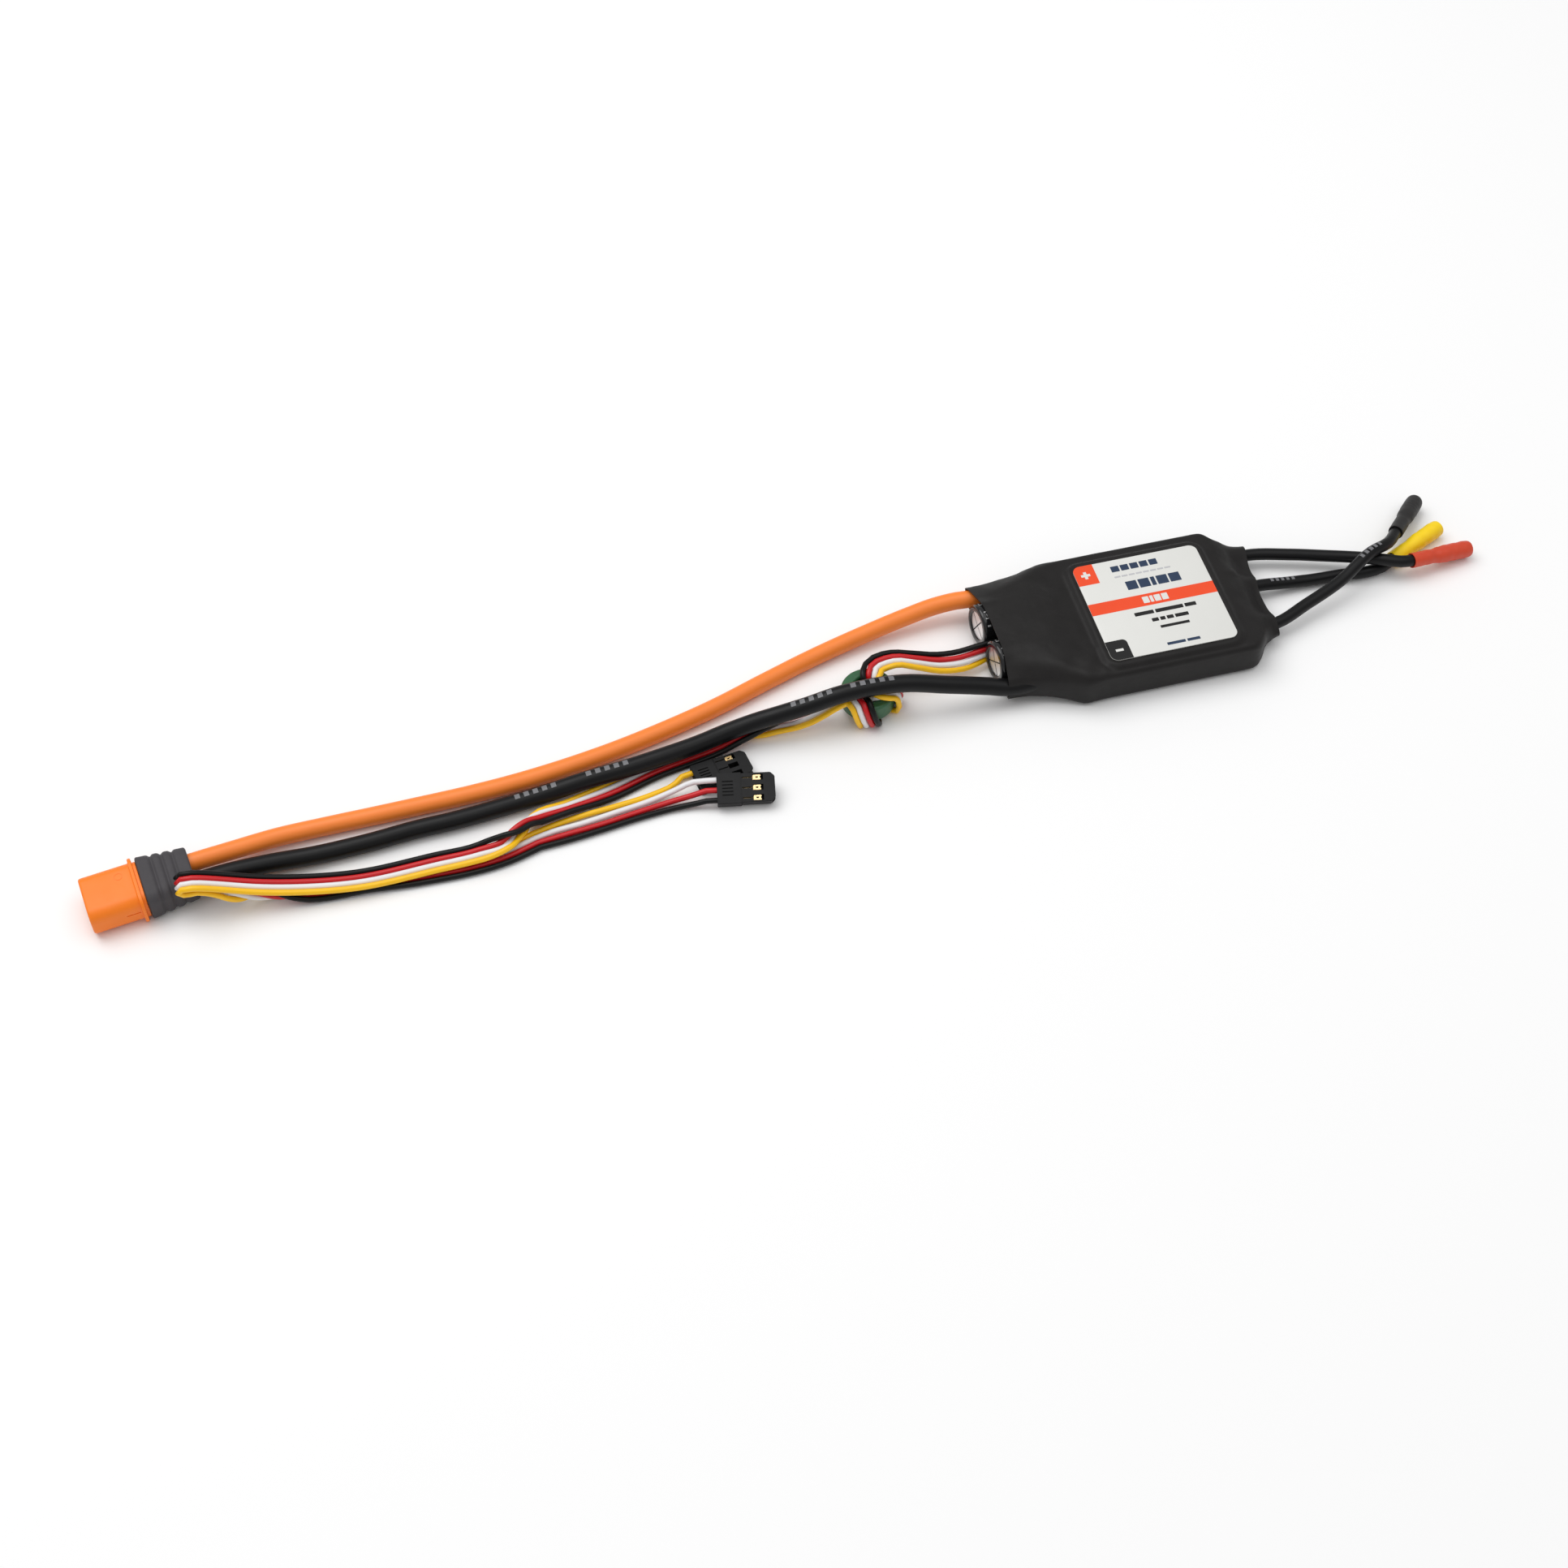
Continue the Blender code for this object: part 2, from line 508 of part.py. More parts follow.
def lip_shift(end, y):
    """How far the sleeve's cut ends bow away from straight across."""
    if end == 1:
        return 1.8 * MM * (1 - (y / (17 * MM)) ** 2)
    if end == 2:
        return 1.3 * MM * ((y + 2 * MM) / (16 * MM)) ** 2 - 0.8 * MM
    return 0.0


def sleeve_ring(station, inset):
    ring = []
    for y, z in sleeve_section(station, inset):
        ring.append((station[0] * MM + lip_shift(station[-1], y), y, z))
    return ring


def build_sleeve():
    outside = [sleeve_ring(station, 0.0) for station in SLEEVE_STATIONS]
    inside = [sleeve_ring(station, SLEEVE_WALL) for station in SLEEVE_STATIONS]
    mesh = lofted_mesh("heat_shrink_sleeve", outside + inside[::-1], joined=True)
    place("heat_shrink_sleeve", mesh, "sleeve_black")


def build_label():
    ring = rounded_rectangle(0.0, LABEL_SIZE, -LABEL_SIZE / 2, LABEL_SIZE / 2, 2.0 * MM)
    bottom = [(z, y, 0.0) for _, y, z in ring]
    top = [(x, y, LABEL_THICKNESS) for x, y, _ in bottom]
    place("label", lofted_mesh("label", [bottom, top]), "label_white",
          location=(*LABEL_CENTRE, LABEL_Z))


# ---------------------------------------------------------------- inner parts

def slab(name, x_range, y_range, z, thickness, finish_name, bevel=0.0):
    """A flat piece between two X and two Y limits, standing on a height, in metres."""
    size = (x_range[1] - x_range[0], y_range[1] - y_range[0], thickness)
    centre = (sum(x_range) / 2, sum(y_range) / 2, z + thickness / 2)
    return box(name, size, centre, finish_name, bevel)


def build_boards():
    slab("logic_board", (-16 * MM, 26 * MM), (-15 * MM, 15 * MM), LOGIC_BOARD_Z,
         LOGIC_BOARD_THICKNESS, "board_green")
    slab("power_board", (-17 * MM, 29 * MM), (-17.2 * MM, 16.8 * MM), POWER_BOARD_Z,
         POWER_BOARD_THICKNESS, "board_green")
    header_height = POWER_BOARD_Z - GAP - LOGIC_TOP
    slab("spacer_header", (20 * MM, 22.5 * MM), (-10 * MM, 10 * MM), LOGIC_TOP,
         header_height, "chip_black")
    slab("microcontroller", (-6.5 * MM, 0.5 * MM), (-3.5 * MM, 3.5 * MM), LOGIC_TOP,
         0.9 * MM, "chip_black", bevel=0.1 * MM)
    slab("regulator_inductor", (7 * MM, 13 * MM), (-11 * MM, -5 * MM), LOGIC_TOP,
         2.5 * MM, "chip_black", bevel=0.5 * MM)


def build_switching_stage():
    number = 0
    for row_y in (7.5 * MM, -8.5 * MM):
        for column in range(3):
            number += 1
            x = (-5 + 10 * column) * MM
            slab(f"mosfet_{number}", (x - 2.5 * MM, x + 2.5 * MM),
                 (row_y - 3 * MM, row_y + 3 * MM), POWER_TOP, MOSFET_HEIGHT, "chip_black",
                 bevel=0.1 * MM)
    slab("thermal_pad", (-11 * MM, 22 * MM), (-13 * MM, 12 * MM), THERMAL_PAD_Z,
         THERMAL_PAD_THICKNESS, "pad_grey")
    slab("cooling_plate", (-11.7 * MM, 22.7 * MM), (-18.0 * MM, 16.8 * MM),
         COOLING_PLATE_Z, COOLING_PLATE_THICKNESS, "aluminium", bevel=0.2 * MM)


def build_solder_pads():
    for name, y in (("positive_pad", 14.6 * MM), ("negative_pad", -14.6 * MM)):
        slab(name, (-19.4 * MM, -12 * MM), (y - 2 * MM, y + 2 * MM), POWER_TOP, 1.1 * MM,
             "tinned", bevel=0.2 * MM)
    for letter, y in (("a", 12.8 * MM), ("b", 2.4 * MM), ("c", -10.8 * MM)):
        slab(f"motor_pad_{letter}", (25 * MM, 29.4 * MM), (y - 1.7 * MM, y + 1.7 * MM),
             3.7 * MM, 1.1 * MM, "tinned", bevel=0.2 * MM)


def build_capacitor(side, face):
    """A can in its printed film, its rubber bung and its two pins."""
    yaw = Quaternion((0, 0, 1), CAPACITOR_YAW)
    rotation = yaw @ Quaternion((0, 1, 0), CAPACITOR_PITCH)
    frame = frame_at(f"capacitor_{side}_frame", face, rotation)
    r = CAPACITOR_RADIUS
    length = CAPACITOR_LENGTH
    film = [(CAPACITOR_LIP_RADIUS, 0.0), (r - 0.3 * MM, 0.0), (r, 0.3 * MM),
            (r, length), (r - CAPACITOR_SKIN, length),
            (r - CAPACITOR_SKIN, CAPACITOR_SKIN), (CAPACITOR_LIP_RADIUS, CAPACITOR_SKIN)]
    turned(f"capacitor_sleeve_{side}", film, 32, "film_black", frame)
    can_radius = r - CAPACITOR_SKIN - 0.25 * MM
    groove = length - 2.6 * MM
    can = [(0.0, 0.55 * MM), (can_radius - 0.3 * MM, 0.55 * MM),
           (can_radius, 0.85 * MM), (can_radius, groove - 0.5 * MM),
           (can_radius - 0.5 * MM, groove), (can_radius, groove + 0.5 * MM),
           (can_radius, length - 0.4 * MM), (can_radius - 0.9 * MM, length - 0.2 * MM),
           (can_radius - 0.9 * MM, length - 1.2 * MM), (0.0, length - 1.2 * MM)]
    turned(f"capacitor_can_{side}", can, 32, "aluminium", frame)
    bung_start = length - 1.2 * MM + GAP
    bung_radius = can_radius - 0.9 * MM - 0.25 * MM
    bung = [(0.0, bung_start), (bung_radius, bung_start), (bung_radius, length),
            (0.0, length)]
    turned(f"capacitor_bung_{side}", bung, 24, "rubber_black", frame)
    pin_radius = CAPACITOR_PIN_DIAMETER / 2
    pin = [(0.0, length + GAP), (pin_radius, length + GAP),
           (pin_radius, length + 5.1 * MM), (0.0, length + 5.1 * MM)]
    for sign, polarity in ((1, "positive"), (-1, "negative")):
        turned(f"capacitor_pin_{side}_{polarity}", pin, 8, "tinned", frame,
               (0, sign * CAPACITOR_PIN_OFFSET, 0))


# ---------------------------------------------------------------- battery connector

def build_connector():
    frame = frame_at("battery_connector_frame", CONNECTOR_ORIGIN,
                     Quaternion((0, 0, 1), CONNECTOR_YAW))
    build_connector_shell(frame)
    build_connector_cap(frame)
    for name, side in (("positive_contact", 1), ("negative_contact", -1)):
        build_contact(name, side, frame)


def build_connector_shell(frame):
    """The plug body, its flange and its neck, lofted in steps along X, with two bores."""
    width, height = SHELL_SIZE[1], SHELL_SIZE[2]
    low = CONNECTOR_AXIS_Z - height / 2
    flange_low = CONNECTOR_AXIS_Z - FLANGE_SIZE[2] / 2
    flange_start = 1.4 * MM - FLANGE_SIZE[0]
    sizes = [
        (-SHELL_SIZE[0], width - 0.6 * MM, low + 0.3 * MM, 1.2 * MM),
        (-SHELL_SIZE[0] + 0.3 * MM, width, low, 1.5 * MM),
        (flange_start, width, low, 1.5 * MM),
        (flange_start, FLANGE_SIZE[1], flange_low, 1.5 * MM),
        (flange_start + FLANGE_SIZE[0], FLANGE_SIZE[1], flange_low, 1.5 * MM),
        (flange_start + FLANGE_SIZE[0], 11.6 * MM, low + 0.4 * MM, 1.5 * MM),
        (flange_start + FLANGE_SIZE[0] + 0.25 * MM, 11.6 * MM, low + 0.4 * MM, 1.5 * MM),
    ]
    rings = [rounded_rectangle(x, wide, bottom, 2 * CONNECTOR_AXIS_Z - bottom, radius, 2)
             for x, wide, bottom, radius in sizes]
    shell = place("connector_shell", lofted_mesh("connector_shell", rings),
                  "shell_orange", frame)
    for side in (1, -1):
        cut_bore(shell, side, CONTACT_BORE_RADIUS, (-14 * MM, 3 * MM), frame)


def cut_bore(piece, side, radius, x_range, frame):
    """A round hole along X on one of the connector's two axes."""
    profile = [(0.0, x_range[0]), (radius, x_range[0]), (radius, x_range[1]),
               (0.0, x_range[1])]
    name = f"{piece.name}_bore_{side}"
    location = (0, side * CONTACT_OFFSET, CONNECTOR_AXIS_Z)
    cut(piece, turned(name, profile, 20, "gold", frame, location))


def build_connector_cap(frame):
    """The grey cover behind the flange: it narrows towards the leads and has three ribs."""
    length = CAP_END_X - CAP_START_X
    stations = [(0.0, 0.0), (0.22, 0.0), (0.27, 0.5), (0.35, 0.5), (0.40, 0.05),
                (0.48, 0.05), (0.52, 0.5), (0.60, 0.5), (0.66, 0.05), (1.0, 0.05)]
    rings = []
    for share, dip in stations:
        wide = (13.2 - 1.2 * share - dip) * MM
        high = (8.6 - 1.0 * share - dip) * MM
        bottom = CONNECTOR_AXIS_Z - high / 2
        rings.append(rounded_rectangle(CAP_START_X + share * length, wide, bottom,
                                       bottom + high, 1.6 * MM))
    cap = place("connector_cap", lofted_mesh("connector_cap", rings), "cap_grey", frame)
    for side in (1, -1):
        cut_bore(cap, side, LEAD_BORE_RADIUS, (0.0, 16 * MM), frame)


def build_contact(name, side, frame):
    """A gold barrel, open at the mating end."""
    bore = 1.25 * MM
    start = -10.8 * MM
    end = 3.9 * MM
    depth = 9.0 * MM
    profile = [(0.0, end), (CONTACT_RADIUS, end), (CONTACT_RADIUS, start),
               (bore, start), (bore, start + depth), (0.0, start + depth)]
    turned(name, profile, 20, "gold", frame, (0, side * CONTACT_OFFSET, CONNECTOR_AXIS_Z))


# ---------------------------------------------------------------- leads and motor plugs

def build_power_leads():
    for name, route, finish_name in (
            ("positive_lead", POSITIVE_ROUTE, "silicone_orange"),
            ("negative_lead", NEGATIVE_ROUTE, "silicone_black")):
        points = smooth_route(route, 10 * MM)
        cord(name, points, POWER_LEAD_DIAMETER, finish_name, 3)


def build_motor_lead(letter):
    """One motor lead with its socket and its insulator."""
    start, end = (Vector(point) for point in MOTOR_PLUGS[letter])
    along = (end - start).normalized()
    inside = [start + along * distance for distance in (0.0, 3.5 * MM, 7.6 * MM)]
    route = MOTOR_ROUTES[letter] + [tuple(point) for point in inside]
    cord(f"motor_lead_{letter}", smooth_route(route, 6 * MM), MOTOR_LEAD_DIAMETER,
         "silicone_black", 2)
    frame = frame_at(f"motor_plug_{letter}_frame", start,
                     Vector((1, 0, 0)).rotation_difference(along))
    length = (end - start).length
    build_socket(letter, length, frame)
    build_insulator(letter, length, frame)


def build_socket(letter, length, frame):
    front = length - 0.8 * MM
    depth = 6.5 * MM
    profile = [(0.0, SOCKET_START), (SOCKET_RADIUS - 0.2 * MM, SOCKET_START),
               (SOCKET_RADIUS, SOCKET_START + 0.2 * MM), (SOCKET_RADIUS, front),
               (SOCKET_BORE_RADIUS, front), (SOCKET_BORE_RADIUS, front - depth),
               (0.0, front - depth)]
    turned(f"motor_socket_{letter}", profile, 16, "gold", frame)


def build_insulator(letter, length, frame):
    """Shrink tube, narrow over the lead and wide over the socket."""
    neck = INSULATOR_NECK_RADIUS
    body = INSULATOR_BODY_RADIUS
    step = INSULATOR_NECK_LENGTH - 1.2 * MM
    wide = INSULATOR_NECK_LENGTH
    outside = [(neck, 0.0), (neck, step), (body, wide), (body, length)]
    inside = [(body - INSULATOR_WALL, length), (body - INSULATOR_WALL, wide + 0.1 * MM),
              (neck - 0.2 * MM, step), (neck - 0.2 * MM, 0.0)]
    name = INSULATOR_NAMES[letter]
    turned(name, outside + inside, 16, name.replace("insulator", "shrink"), frame)


# ---------------------------------------------------------------- ring and signal wires

def build_ring():
    top = RING_BOTTOM_Z + RING_HEIGHT
    c = RING_CHAMFER
    profile = [(RING_INNER_RADIUS + c, RING_BOTTOM_Z), (RING_OUTER_RADIUS - c, RING_BOTTOM_Z),
               (RING_OUTER_RADIUS, RING_BOTTOM_Z + c), (RING_OUTER_RADIUS, top - c),
               (RING_OUTER_RADIUS - c, top), (RING_INNER_RADIUS + c, top),
               (RING_INNER_RADIUS, top - c), (RING_INNER_RADIUS, RING_BOTTOM_Z + c)]
    turned("ferrite_ring", profile, 32, "ferrite_green", None, (*RING_CENTRE, 0.0), (0, 0, 1))


def ribbon_stations():
    """The ribbon's whole route as rows of middle point, across direction and fold."""
    turns = []
    for radius, degrees, height, fold in RIBBON_TURNS:
        angle = math.radians(degrees)
        across = (math.sin(angle), -math.cos(angle), 0.0)
        middle = (RING_CENTRE[0] + radius * MM * math.cos(angle),
                  RING_CENTRE[1] + radius * MM * math.sin(angle), height * MM)
        turns.append((middle, across, fold))
    rows = []
    for middle, across, fold in RIBBON_TO_RING + turns + RIBBON_TO_CONNECTOR + RIBBON_BACK:
        rows.append((*middle, *Vector(across).normalized(), fold))
    return rows


def twist_steps(stations):
    """Steps for each stretch of ribbon, so that no step turns a wire round its neighbour by
    more than TWIST_STEP."""
    steps = []
    for start, end in zip(stations, stations[1:]):
        turned_by = Vector(start[3:6]).angle(Vector(end[3:6]))
        folded_by = abs(end[6] - start[6]) * math.pi / 2
        steps.append(math.ceil((turned_by + folded_by) / TWIST_STEP))
    return steps


def ribbon_wires():
    """Middle line of each wire in the ribbon, in the order of WIRE_ORDER."""
    stations = ribbon_stations()
    route = smooth_route(stations, 8.5 * MM, twist_steps(stations))
    middles = route[:, :3]
    along = np.gradient(middles, axis=0)
    along /= np.linalg.norm(along, axis=1)[:, None]
    across = route[:, 3:6] - along * np.sum(route[:, 3:6] * along, axis=1)[:, None]
    across /= np.linalg.norm(across, axis=1)[:, None]
    up = np.cross(along, across)
    turn = np.clip(route[:, 6], 0, 1) * math.pi / 2
    half = SIGNAL_WIRE_PITCH / 2
    wires = []
    for side, outer in ((-1, True), (-1, False), (1, False), (1, True)):
        reach = half + 2 * half * np.cos(turn) * outer
        lift = half * np.sin(turn) * (1 if outer else -1)
        offset = across * (side * reach)[:, None] + up * lift[:, None]
        wires.append(middles + offset)
    return wires


def plug_rotation(yaw, roll):
    """Roll about the plug's length first, then yaw about the vertical."""
    yaw_turn = Quaternion((0, 0, 1), math.radians(yaw))
    return yaw_turn @ Quaternion((1, 0, 0), math.radians(roll))


def channel_points(plug, channel):
    """Where a wire runs straight into its plug channel: outside, at the face and inside."""
    centre, yaw, roll, _ = PLUGS[plug]
    rotation = plug_rotation(yaw, roll)
    points = []
    for along in (-2.6 * MM, 0.0, 1.1 * MM):
        local = Vector((-PLUG_SIZE[0] / 2 + along, channel * PLUG_PITCH, 0.0))
        points.append(tuple(Vector(centre) + rotation @ local))
    return points


def build_signal_wires():
    entries = {}
    for plug, (_, _, _, channels) in PLUGS.items():
        for colour, channel in channels.items():
            entries[colour] = channel_points(plug, channel)
    for colour, wire in zip(WIRE_ORDER, ribbon_wires()):
        start = [tuple(wire[-1])]
        tail = smooth_route(start + TAILS[colour] + entries[colour], 7 * MM)
        cord(f"signal_wire_{colour}", list(wire) + list(tail[1:]), SIGNAL_WIRE_DIAMETER,
             f"wire_{colour}", 2)


# ---------------------------------------------------------------- receiver plugs

def build_plug(number):
    centre, yaw, roll, channels = PLUGS[number]
    frame = frame_at(f"receiver_plug_{number}_frame", centre, plug_rotation(yaw, roll))
    length, width, height = PLUG_SIZE
    tip = 1.0 * MM
    outline = [(-length / 2, -width / 2), (length / 2 - tip, -width / 2),
               (length / 2, -width / 2 + tip), (length / 2, width / 2 - tip),
               (length / 2 - tip, width / 2), (-length / 2, width / 2)]
    rings = [[(x, y, z) for x, y in outline] for z in (-height / 2, height / 2)]
    housing = place(f"receiver_plug_{number}", lofted_mesh(f"receiver_plug_{number}", rings),
                    "chip_black", frame)
    for channel in (-1, 0, 1):
        y = channel * PLUG_PITCH
        name = f"plug_{number}_channel_{channel + 1}"
        bore = box(name, (length + 2 * MM, *PLUG_CHANNEL), (0, y, 0), "chip_black",
                   parent=frame)
        cut(housing, bore)
        window_size = (1.8 * MM, 1.3 * MM, 1.0 * MM)
        window = box(f"{name}_window", window_size, (2.6 * MM, y, height / 2), "chip_black",
                     parent=frame)
        cut(housing, window)
    for colour, channel in channels.items():
        build_plug_contact(f"signal_contact_{colour}", channel, frame)


def build_plug_contact(name, channel, frame):
    start = -PLUG_SIZE[0] / 2 + 1.1 * MM + GAP
    centre = (start + PLUG_CONTACT_SIZE[0] / 2, channel * PLUG_PITCH, 0.0)
    box(name, PLUG_CONTACT_SIZE, centre, "gold", bevel=0.1 * MM, parent=frame)


def build():
    clear_scene()
    build_sleeve()
    build_label()
    build_boards()
    build_switching_stage()
    build_solder_pads()
    for side, face in CAPACITOR_FACES.items():
        build_capacitor(side, face)
    build_connector()
    build_power_leads()
    for letter in MOTOR_ROUTES:
        build_motor_lead(letter)
    build_ring()
    build_signal_wires()
    for number in PLUGS:
        build_plug(number)


build()
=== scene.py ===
"""Looks of the electronic speed controller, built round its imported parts.

Units are metres. +X runs from the battery end to the motor end, and the controller lies on
its flat side at z = 0.
"""

import json
import math

import bmesh
import bpy
import numpy as np
from mathutils import Euler, Matrix, Quaternion, Vector, geometry, noise


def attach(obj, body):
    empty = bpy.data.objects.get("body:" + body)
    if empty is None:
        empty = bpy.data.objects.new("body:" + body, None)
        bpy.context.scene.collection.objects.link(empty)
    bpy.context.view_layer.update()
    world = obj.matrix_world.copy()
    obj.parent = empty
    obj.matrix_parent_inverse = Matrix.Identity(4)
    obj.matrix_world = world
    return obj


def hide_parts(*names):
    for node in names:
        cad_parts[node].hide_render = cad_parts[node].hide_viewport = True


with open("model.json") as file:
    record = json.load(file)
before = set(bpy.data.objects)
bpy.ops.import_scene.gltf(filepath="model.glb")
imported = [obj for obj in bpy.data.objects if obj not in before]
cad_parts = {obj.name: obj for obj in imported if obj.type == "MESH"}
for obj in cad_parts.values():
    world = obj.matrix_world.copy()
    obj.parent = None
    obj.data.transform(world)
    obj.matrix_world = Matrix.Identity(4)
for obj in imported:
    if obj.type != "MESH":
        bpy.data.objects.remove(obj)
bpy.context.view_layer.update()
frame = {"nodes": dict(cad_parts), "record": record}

MM = 0.001
BODY = "root"

# Camera and view
CAMERA_LOCATION = (-0.1881, -0.3727, 0.4681)
CAMERA_TURN = (37.5, 0.0, -14.7)
CAMERA_LENS = 55.9
SENSOR_WIDTH = 36.0

# Leads: diameters, the signal wires' pitch and twist step, and the spacing of points along them
POWER_LEAD_DIAMETER = 4.5 * MM
MOTOR_LEAD_DIAMETER = 3.1 * MM
SIGNAL_WIRE_DIAMETER = 1.42 * MM
SIGNAL_WIRE_PITCH = 1.5 * MM
TWIST_STEP = math.radians(14)
LEAD_SPACING = 2.0 * MM
RIBBON_SPACING = 2.0 * MM

# Middle of the ferrite ring, and routes of the leads from the controller outwards, in
# millimetres
RING_CENTRE = (-70.7, -6.9)
POSITIVE_ROUTE = [
    (-19.8, 15.4, 7.8), (-24, 15.5, 8.2), (-30, 15.2, 7.3), (-36.5, 15.1, 6.5), (-41, 15.8, 6.1),
    (-46.9, 16, 5.4), (-53.5, 15.3, 4.6), (-67, 13, 3.2), (-80.6, 9.6, 2.5), (-94.4, 5, 2.4),
    (-108.1, 0.2, 2.4), (-121.3, -3.5, 2.4), (-134.1, -6.5, 2.4), (-146.7, -8.7, 2.4),
    (-159, -10.2, 2.4), (-171, -11, 2.4), (-182.9, -11.3, 2.4), (-194.7, -11.5, 2.4),
    (-206.3, -11.7, 2.5), (-217.9, -12.4, 3), (-228, -14.2, 3.9), (-237.5, -15.78, 4.5),
    (-242.5, -16.48, 4.5), (-247.1, -17.13, 4.5),
]
NEGATIVE_ROUTE = [
    (-19.8, -14.3, 7.6), (-24, -14.3, 6.6), (-30, -14.4, 5.6), (-36.6, -14.2, 5.3),
    (-41.2, -13.4, 6.2), (-52.3, -12.2, 8.8), (-63.1, -10.9, 11.1), (-72.5, -10.7, 11.8),
    (-80, -10.5, 11), (-86.6, -10.5, 9.5), (-93.2, -10.2, 8), (-100.5, -10, 6.6),
    (-107.6, -10.6, 5.6), (-115, -12, 5.1), (-123.4, -13.2, 4.8), (-132.4, -14.2, 4.4),
    (-143.5, -14.9, 3.8), (-154.4, -15.8, 2.8), (-165.4, -16.8, 2.4), (-176.1, -17.7, 2.4),
    (-185, -18, 2.4), (-196.8, -19, 2.4), (-209.2, -19.6, 2.6), (-221.2, -19.8, 3.4),
    (-230, -20.6, 4.2), (-236.75, -21.52, 4.5), (-241.7, -22.22, 4.5), (-246.35, -22.87, 4.5),
]
MOTOR_ROUTES = {
    "a": [
        (29.8, 12.8, 4.2), (36.5, 13.6, 4), (47.6, 11.1, 4), (56.2, 8.4, 4),
        (64.6, 5, 4.6), (70, 2, 5.4), (74, 0.3, 5.4),
    ],
    "b": [
        (29.8, 2.4, 4.2), (35.4, 3, 3.9), (44.6, 3.1, 2.6), (52, 2.9, 2), (59.2, 2.7, 1.9),
        (66, 2, 1.9), (70.5, 2.6, 1.9),
    ],
    "c": [
        (29.8, -10.8, 4.2), (36.1, -10.2, 4.1), (45, -6.8, 4.6), (56.1, -2.5, 6),
        (66.5, 3, 8.3), (72.3, 5.6, 7.3),
    ],
}
# Each motor plug: where its insulator starts and where it ends
MOTOR_PLUGS = {
    "a": ((0.0770, 0.0002, 0.0050), (0.0946, 0.0025, 0.0024)),
    "b": ((0.0740, 0.0042, 0.0023), (0.0899, 0.0114, 0.0024)),
    "c": ((0.0766, 0.0098, 0.0058), (0.0880, 0.0218, 0.0024)),
}
INSULATOR_NAMES = {"a": "insulator_red", "b": "insulator_yellow", "c": "insulator_black"}

# The signal ribbon: a point on its middle line in millimetres, the direction across it
# towards the yellow wire, and how far its outer wires are folded over the inner ones (0 flat,
# 1 a square).
RIBBON_TO_RING = [
    (-11.5, 1.7, 3, 0, -1, 0, 0), (-16.5, 1.7, 3.1, 0, -1, 0, 0),
    (-19.5, 1.7, 3.6, 0, -0.8, -0.5, 0.5), (-22.5, 1.6, 4.3, 0, -0.25, -1, 0.5),
    (-26.5, 1.1, 4.3, 0, 0, -1, 0), (-35, 0.1, 4.2, 0, 0, -1, 0),
    (-39.5, -1, 4.3, 0.1, -0.6, -1.35, 0), (-45, -2, 4.3, 0, -1.2, -0.9, 0),
    (-51, -1.9, 5, 0.1, -1.42, -0.5, 0), (-57, -1.1, 6.8, 0.1, -1, -0.1, 0),
    (-62.5, -0.4, 8.2, 0.45, -0.9, 0, 0),
]
# Turns round the ring: radius, angle (degrees), height, fold; the ribbon's yellow edge
# always leads clockwise.
RIBBON_TURNS = [
    (6, 62, 7.9, 0), (4.5, 62.5, 8, 0.1), (3, 61, 7.6, 0.4), (2.15, 45, 5.6, 1),
    (2.15, 40, 3.9, 1), (2.5, 30, 2.3, 0.65), (3.3, 18, 1.6, 0.3), (4.7, 0, 1.1, 0),
    (6.6, -13, 1.1, 0), (7.6, -18, 1.9, 0), (8.05, -22, 4.3, 0), (7.6, -24.5, 6.7, 0),
    (6.6, -27, 7.75, 0), (5.6, -32, 7.9, 0), (4.3, -48, 8, 0.3), (2.9, -70, 7.4, 0.8),
    (2.15, -94, 5.6, 1), (2.15, -100, 3.8, 1), (2.5, -102, 2.2, 0.75), (3.3, -102, 1.5, 0.4),
    (4.7, -101, 1, 0), (6.6, -100, 1.1, 0), (7.6, -103, 1.9, 0), (8.05, -108, 4.3, 0),
    (7.6, -114.5, 6.7, 0), (6.6, -121, 7.75, 0), (5.8, -131, 7.85, 0),
]
RIBBON_TO_CONNECTOR = [
    (-75.6, -9.2, 7.9, -0.8, -0.6, 0, 0), (-79, -8.6, 7.2, 0, -1, -0.1, 0),
    (-83, -9, 5.2, 0, -1, 0, 0), (-89, -9.2, 3.4, 0, -0.8, -0.6, 0.4),
    (-96, -9.5, 2.6, 0, -0.2, -1, 0.8), (-103, -10.2, 2.6, 0, 0.8, -0.6, 0.4),
    (-110, -10.8, 1.4, 0, 1, 0, 0), (-126.8, -14, 1, 0, 1, 0, 0), (-138.7, -17.6, 1, 0, 1, 0, 0),
    (-149.3, -20.4, 2, 0, 0.92, -0.38, 0), (-157.3, -22.6, 3.2, 0, 0.9, -0.4, 0.3),
    (-161.6, -25.6, 4, 0, 0.1, -1, 0.9), (-165.6, -28.3, 4, 0, -0.9, -0.4, 0.6),
    (-171.8, -29.1, 3.3, 0, -1, 0, 0), (-182.6, -29.2, 2.9, 0, -1, 0, 0),
    (-201.5, -29.6, 3.1, 0, -1, 0, 0), (-214.5, -28.5, 4.5, 0, -1, 0, 0),
    (-224.6, -27.3, 6.6, 0, -1, 0, 0), (-230.2, -26.6, 8.4, 0, -1, 0, 0),
    (-234.3, -26.3, 10, 0, -1, 0, 0), (-237.8, -26.1, 11.1, 0, -1, 0, 0),
    (-240.2, -26, 11.2, 0, -1, 0, 0), (-241.2, -26, 10.3, 0, -1, 0, 0),
    (-240.2, -26, 9.3, 0, -1, 0, 0),
]
